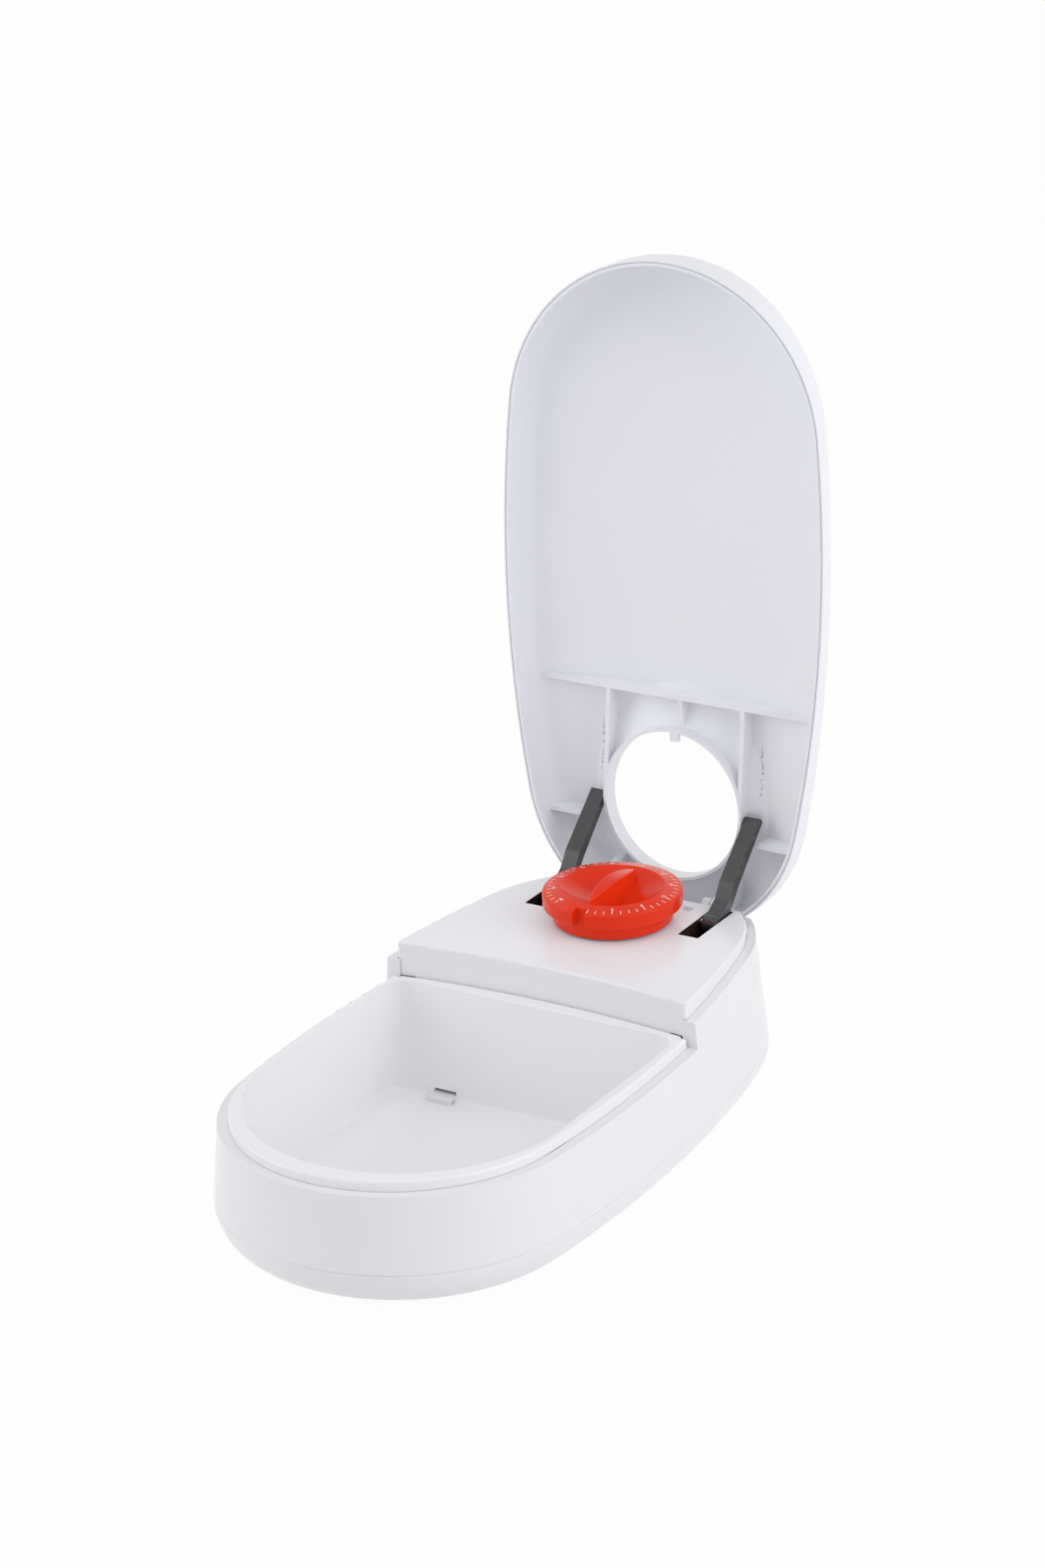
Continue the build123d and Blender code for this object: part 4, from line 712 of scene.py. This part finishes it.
def dial_axis():
    """Place of the dial's axis in plan, from its joint."""
    joint = next(j for j in frame["joints"] if j["name"] == "dial_turn")
    return joint["pos_m"][0], joint["pos_m"][1]


def on_ring(along, inward, proud, foot, angle):
    """Bends flat print round the dial's ring: along runs round the axis, inward runs towards it.

    A point sits at distance foot minus inward from the axis, at angle plus along over foot,
    and proud of the ring's own height there.
    """
    axis_x, axis_y = dial_axis()
    reach = foot - inward
    turn = angle + along / foot
    return np.stack(
        [
            axis_x + reach * np.cos(turn),
            axis_y + reach * np.sin(turn),
            ring_height(reach) + proud,
        ],
        axis=1,
    )


def hour_angle(hour, hours):
    """Angle of an hour on the scale: hour 0 is at the notch, on the bowl's side."""
    return 2 * np.pi * hour / hours - np.pi / 2


def flat_number(text, height):
    """Flat mesh of a number, centred on its width, as corner and face arrays."""
    curve = bpy.data.curves.new("number", "FONT")
    curve.body = text
    curve.size = height / DIGIT_SHARE
    curve.align_x = "CENTER"
    curve.offset = height * STROKE_SHARE
    curve.resolution_u = DIGIT_STEPS
    holder = bpy.data.objects.new("number", curve)
    bpy.context.scene.collection.objects.link(holder)
    graph = bpy.context.evaluated_depsgraph_get()
    mesh = bpy.data.meshes.new_from_object(holder.evaluated_get(graph))
    corners = np.empty(len(mesh.vertices) * 3)
    mesh.vertices.foreach_get("co", corners)
    faces = [tuple(face.vertices) for face in mesh.polygons]
    bpy.data.objects.remove(holder)
    bpy.data.curves.remove(curve)
    bpy.data.meshes.remove(mesh)
    return corners.reshape(-1, 3), faces


def number_print(scale):
    """Corners and faces of the hours' numbers, each bent round the ring with its feet outward."""
    corners, faces, count = [], [], 0
    for hour in range(scale.number_step, scale.hours, scale.number_step):
        flat, flat_faces = flat_number(str(hour), scale.number_height)
        angle = hour_angle(hour, scale.hours)
        across, upward = flat[:, 0], flat[:, 1]
        corners.append(on_ring(across, upward, scale.ink_height, scale.number_foot, angle))
        faces += [tuple(corner + count for corner in face) for face in flat_faces]
        count += len(flat)
    return np.concatenate(corners), faces


def tick_print(scale):
    """Corners and faces of the hours' ticks: a grid over each one's width and length, on the ring.

    A numbered hour has a wedge that points outward in place of a tick.
    """
    rows, columns = TICK_CORNERS
    hours = np.arange(1, scale.last_tick + 1)
    across = np.linspace(-0.5, 0.5, rows) * scale.tick_width
    inward = np.linspace(0.0, scale.tick_outer - scale.tick_inner, columns)
    hour, along, depth = np.meshgrid(hours, across, inward, indexing="ij")
    wedge = WEDGE_TIP + WEDGE_SPREAD * depth / inward[-1]
    along = along * np.where(hour % scale.number_step == 0, wedge, 1.0)
    angle = hour_angle(hour.ravel(), scale.hours)
    corners = on_ring(along.ravel(), depth.ravel(), scale.ink_height, scale.tick_outer, angle)
    cell = np.arange(rows - 1)[:, None] * columns + np.arange(columns - 1)[None, :]
    quad = np.stack([cell, cell + columns, cell + columns + 1, cell + 1], axis=-1)
    start = np.arange(len(hours))[:, None, None] * rows * columns
    return corners, (start + quad.reshape(-1, 4)[None]).reshape(-1, 4).tolist()


def printed(name, corners, faces, ink, height):
    """One printed piece on the dial; its ink's height goes down into the plastic."""
    mesh = bpy.data.meshes.new(name)
    mesh.from_pydata(corners.tolist(), [], faces)
    mesh.materials.append(ink)
    piece = bpy.data.objects.new(name, mesh)
    bpy.context.scene.collection.objects.link(piece)
    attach(piece, "dial")
    wall = piece.modifiers.new("ink height", "SOLIDIFY")
    wall.thickness = height
    wall.offset = -1.0


class FEEDER_OT_dial_print(bpy.types.Operator):
    """Print the hour numbers and ticks on the dial's ring"""

    bl_idname = "feeder.dial_print"
    bl_label = "Dial print"

    def execute(self, context):
        colours, scale = context.scene.feeder_colours, context.scene.feeder_scale
        ink, tree, shader = new_material("dial ink", Specular_IOR_Level=0.3)
        wear = ramp(tree, noise(tree, spot(tree), scale=1500.0, detail=3.0), 0.6, 0.74)
        feed(
            tree,
            shader,
            Base_Color=blend_colour(tree, wear, colours.ink, colours.dial),
            Roughness=ramp(tree, wear, 0.0, 1.0, 0.45, 0.65),
        )
        # The print stands proud by its ink's height, and is sunk in by as much
        printed("dial_numbers", *number_print(scale), ink, 2 * scale.ink_height)
        printed("dial_ticks", *tick_print(scale), ink, 2 * scale.ink_height)
        return {"FINISHED"}


# ---------------------------------------------------------------- hardware and timer


class FEEDER_OT_hardware(bpy.types.Operator):
    """Finish screws, pins, springs, contacts, bush and feet"""

    bl_idname = "feeder.hardware"
    bl_label = "Hardware and feet"

    def execute(self, context):
        colours = context.scene.feeder_colours
        for name, (colour, gloss, drawn, spotted, parts) in METALS.items():
            paint(metal(name, getattr(colours, colour), gloss, drawn, spotted), *parts)

        rubber, tree, shader = new_material("foot rubber", Specular_IOR_Level=0.3)
        place = spot(tree)
        dust = ramp(tree, noise(tree, place, scale=170.0, detail=4.0), 0.5, 0.7)
        grain = noise(tree, place, scale=2100.0, detail=3.0, roughness=0.65)
        dusty = blend_colour(tree, dust, colours.rubber, times(colours.rubber, 2.2))
        feed(tree, shader, Base_Color=dusty, Roughness=ramp(tree, grain, 0.3, 0.7, 0.62, 0.86))
        bumped(tree, shader, grain, strength=0.5, distance=0.06 * MM)
        paint(rubber, "rubber_feet")
        return {"FINISHED"}


class FEEDER_OT_timer(bpy.types.Operator):
    """Finish the timer movement: case, gears, board and coil"""

    bl_idname = "feeder.timer"
    bl_label = "Timer movement"

    def execute(self, context):
        colours = context.scene.feeder_colours
        case, *_ = moulded(
            "case plastic",
            colours.case,
            flow=0.05,
            gloss=(0.35, 0.5),
            grain=1.0,
            Transmission_Weight=0.12,
        )
        gear, *_ = moulded("gear plastic", colours.gear, flow=0.04, gloss=(0.3, 0.42), grain=0.5)
        paint(case, "timer_case", "timer_cover")
        paint(gear, "dial_wheel", "movement_pinion")
        self.board(colours.board)
        self.coil(colours.copper)
        return {"FINISHED"}

    def board(self, green):
        """Lacquered board with paler tracks and the weave of its glass cloth."""
        material, tree, shader = new_material("board lacquer", Coat_Weight=0.5, Coat_Roughness=0.15)
        place = spot(tree)
        tracks = add(
            tree, "ShaderNodeTexBrick", offset=0.37, squash=0.6, Scale=210.0, Mortar_Size=0.06
        )
        tree.links.new(place, tracks.inputs["Vector"])
        track = tracks.outputs["Fac"]
        weave = noise(tree, place, scale=1300.0)
        feed(
            tree,
            shader,
            Base_Color=blend_colour(tree, track, green, times(green, 1.7)),
            Roughness=ramp(tree, weave, 0.3, 0.7, 0.28, 0.4),
        )
        bumped(tree, shader, track, strength=0.3, distance=0.03 * MM)
        paint(material, "timer_board")

    def coil(self, copper):
        """Turns of enamelled wire side by side, with painted shade in the grooves between them."""
        material, tree, shader = new_material(
            "coil wire", Metallic=0.85, Coat_Weight=0.6, Coat_Roughness=0.2
        )
        turns = add(
            tree,
            "ShaderNodeTexWave",
            bands_direction="X",
            wave_profile="SIN",
            Scale=1400.0,
            Distortion=0.4,
        )
        tree.links.new(spot(tree), turns.inputs["Vector"])
        turn = turns.outputs["Fac"]
        # Painted shade: the wire darker in the grooves between its turns
        feed(
            tree,
            shader,
            Base_Color=blend_colour(tree, turn, times(copper, 0.4), copper),
            Roughness=ramp(tree, turn, 0.0, 1.0, 0.5, 0.28),
        )
        bumped(tree, shader, turn, strength=0.6, distance=0.08 * MM)
        paint(material, "drive_coil")


class FEEDER_OT_battery(bpy.types.Operator):
    """Finish the cell: sleeve with a plain band, bare ends"""

    bl_idname = "feeder.battery"
    bl_label = "Battery"

    def execute(self, context):
        colours = context.scene.feeder_colours
        low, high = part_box("aa_battery")
        minus_end, band_start, plus_start = (
            low.x + share * (high.x - low.x) for share in (MINUS_END, BAND_START, PLUS_START)
        )
        cell, tree, shader = new_material("cell sleeve", Coat_Weight=0.4, Coat_Roughness=0.12)
        place = spot(tree)
        along, _, _ = axes(tree, place)
        wobble = maths(tree, "MULTIPLY", noise(tree, place, scale=300.0), CELL_SEAM)
        seat = maths(tree, "ADD", along, wobble)
        band = ramp(tree, seat, band_start, band_start + CELL_SEAM)
        minus = ramp(tree, seat, minus_end, minus_end + CELL_SEAM, 1.0, 0.0)
        plus = ramp(tree, seat, plus_start, plus_start + CELL_SEAM)
        bare = maths(tree, "MAXIMUM", minus, plus)
        sleeve = blend_colour(tree, band, colours.jacket, colours.band)
        gloss = noise(tree, place, scale=240.0, detail=3.0)
        feed(
            tree,
            shader,
            Base_Color=blend_colour(tree, bare, sleeve, colours.nickel),
            Metallic=maths(tree, "MAXIMUM", bare, maths(tree, "MULTIPLY", band, 0.6)),
            Roughness=ramp(tree, gloss, 0.3, 0.7, 0.18, 0.26),
        )
        raised = maths(tree, "SUBTRACT", 1.0, bare)
        bumped(tree, shader, raised, strength=0.5, distance=0.1 * MM)
        paint(cell, "aa_battery")
        return {"FINISHED"}


# ---------------------------------------------------------------- stage


def seen(tree):
    """1 where a ray shows the surface: from the camera, by reflection or through clear plastic."""
    path = add(tree, "ShaderNodeLightPath").outputs
    shown = maths(tree, "MAXIMUM", path["Is Camera Ray"], path["Is Glossy Ray"])
    return maths(tree, "MAXIMUM", shown, path["Is Transmission Ray"])


class FEEDER_OT_stage(bpy.types.Operator):
    """Set up the floor, room light, soft lamps and camera"""

    bl_idname = "feeder.stage"
    bl_label = "Stage"

    def execute(self, context):
        scene, stage = context.scene, context.scene.feeder_stage
        scene.view_settings.view_transform = "Standard"
        self.floor(scene, stage)
        self.room(scene, stage)
        self.lamps(scene, stage)
        self.camera(scene, stage)
        return {"FINISHED"}

    def floor(self, scene, stage):
        """Pale paper that keeps shadows: diffuse light, with plain white added where it is seen."""
        side = np.array([-FLOOR_REACH, FLOOR_REACH])
        x, y = np.meshgrid(side, side)
        corners = np.stack([x, y, 0 * x], -1).reshape(-1, 3)
        mesh = bpy.data.meshes.new("floor")
        mesh.from_pydata(corners.tolist(), [], [(0, 1, 3, 2)])
        floor = bpy.data.objects.new("floor", mesh)
        scene.collection.objects.link(floor)
        paper, tree, shader = new_material("floor paper")
        tree.nodes.remove(shader)
        pale = add(tree, "ShaderNodeBsdfDiffuse", Color=(FLOOR_TONE, FLOOR_TONE, FLOOR_TONE, 1.0))
        white = add(tree, "ShaderNodeEmission", Strength=1.0)
        mix = add(tree, "ShaderNodeMixShader")
        lift = maths(tree, "MULTIPLY", seen(tree), stage.floor_lift)
        for index, value in enumerate((lift, pale.outputs[0], white.outputs[0])):
            tree.links.new(value, mix.inputs[index])
        tree.links.new(mix.outputs[0], tree.nodes["Material Output"].inputs["Surface"])
        mesh.materials.append(paper)

    def room(self, scene, stage):
        """White studio: plain white where it is seen, and softer in the light that it gives."""
        world = bpy.data.worlds.new("studio")
        scene.world = world
        world.use_nodes = True
        tree = world.node_tree
        room = tree.nodes["Background"]
        room.inputs["Color"].default_value = (1.0, 1.0, 1.0, 1.0)
        tree.links.new(ramp(tree, seen(tree), 0.0, 1.0, stage.room, 1.0), room.inputs["Strength"])

    def lamps(self, scene, stage):
        """Square soft lamps that face the feeder."""
        for name, (place, size, power) in LAMPS.items():
            lamp = bpy.data.lights.new(name, "AREA")
            lamp.shape = "SQUARE"
            lamp.size = size
            lamp.energy = getattr(stage, power)
            holder = bpy.data.objects.new(name, lamp)
            scene.collection.objects.link(holder)
            holder.location = place
            facing = LAMP_TARGET - Vector(place)
            holder.rotation_euler = facing.to_track_quat("-Z", "Y").to_euler()

    def camera(self, scene, stage):
        """Camera at its place, turned by azimuth, then down by elevation, then rolled."""
        turn, down, roll = stage.azimuth, stage.elevation, stage.roll
        right = Vector((np.cos(turn), np.sin(turn), 0.0))
        up = Vector((-np.sin(turn) * np.sin(down), np.cos(turn) * np.sin(down), np.cos(down)))
        ahead = Vector((-np.sin(turn) * np.cos(down), np.cos(turn) * np.cos(down), -np.sin(down)))
        tilted_right = right * np.cos(roll) + up * np.sin(roll)
        tilted_up = up * np.cos(roll) - right * np.sin(roll)
        lens = bpy.data.cameras.new("camera")
        lens.sensor_fit = "HORIZONTAL"
        lens.sensor_width = SENSOR_WIDTH
        lens.lens = stage.lens
        lens.clip_end = SIGHT_END
        camera = bpy.data.objects.new("camera", lens)
        scene.collection.objects.link(camera)
        turned = Matrix((tilted_right, tilted_up, -ahead)).transposed().to_4x4()
        camera.matrix_world = Matrix.Translation(stage.place) @ turned
        scene.camera = camera


# ---------------------------------------------------------------- add-on


OPERATORS = (
    FEEDER_OT_body,
    FEEDER_OT_lid,
    FEEDER_OT_dial,
    FEEDER_OT_dial_print,
    FEEDER_OT_arms,
    FEEDER_OT_hardware,
    FEEDER_OT_timer,
    FEEDER_OT_battery,
    FEEDER_OT_stage,
)
GROUPS = {
    "feeder_colours": FeederColours,
    "feeder_scale": DialScale,
    "feeder_stage": StageLight,
}


class FEEDER_PT_panel(bpy.types.Panel):
    """Lists the feeder's pieces and settings"""

    bl_idname = "FEEDER_PT_panel"
    bl_label = "Timed pet feeder"
    bl_space_type = "VIEW_3D"
    bl_region_type = "UI"
    bl_category = "Feeder"

    def draw(self, context):
        for operator in OPERATORS:
            self.layout.operator(operator.bl_idname)
        for label, group in GROUPS.items():
            box = self.layout.box()
            for name in group.__annotations__:
                box.prop(getattr(context.scene, label), name)


def register():
    """Makes the settings, operators and panel known to Blender."""
    for name, group in GROUPS.items():
        bpy.utils.register_class(group)
        setattr(bpy.types.Scene, name, PointerProperty(type=group))
    for item in (*OPERATORS, FEEDER_PT_panel):
        bpy.utils.register_class(item)


def unregister():
    """Takes them out again."""
    for item in (FEEDER_PT_panel, *reversed(OPERATORS)):
        bpy.utils.unregister_class(item)
    for name, group in GROUPS.items():
        delattr(bpy.types.Scene, name)
        bpy.utils.unregister_class(group)


def main():
    """Builds every piece in order."""
    register()
    for operator in OPERATORS:
        family, action = operator.bl_idname.split(".")
        getattr(getattr(bpy.ops, family), action)()


if __name__ == "__main__":
    main()
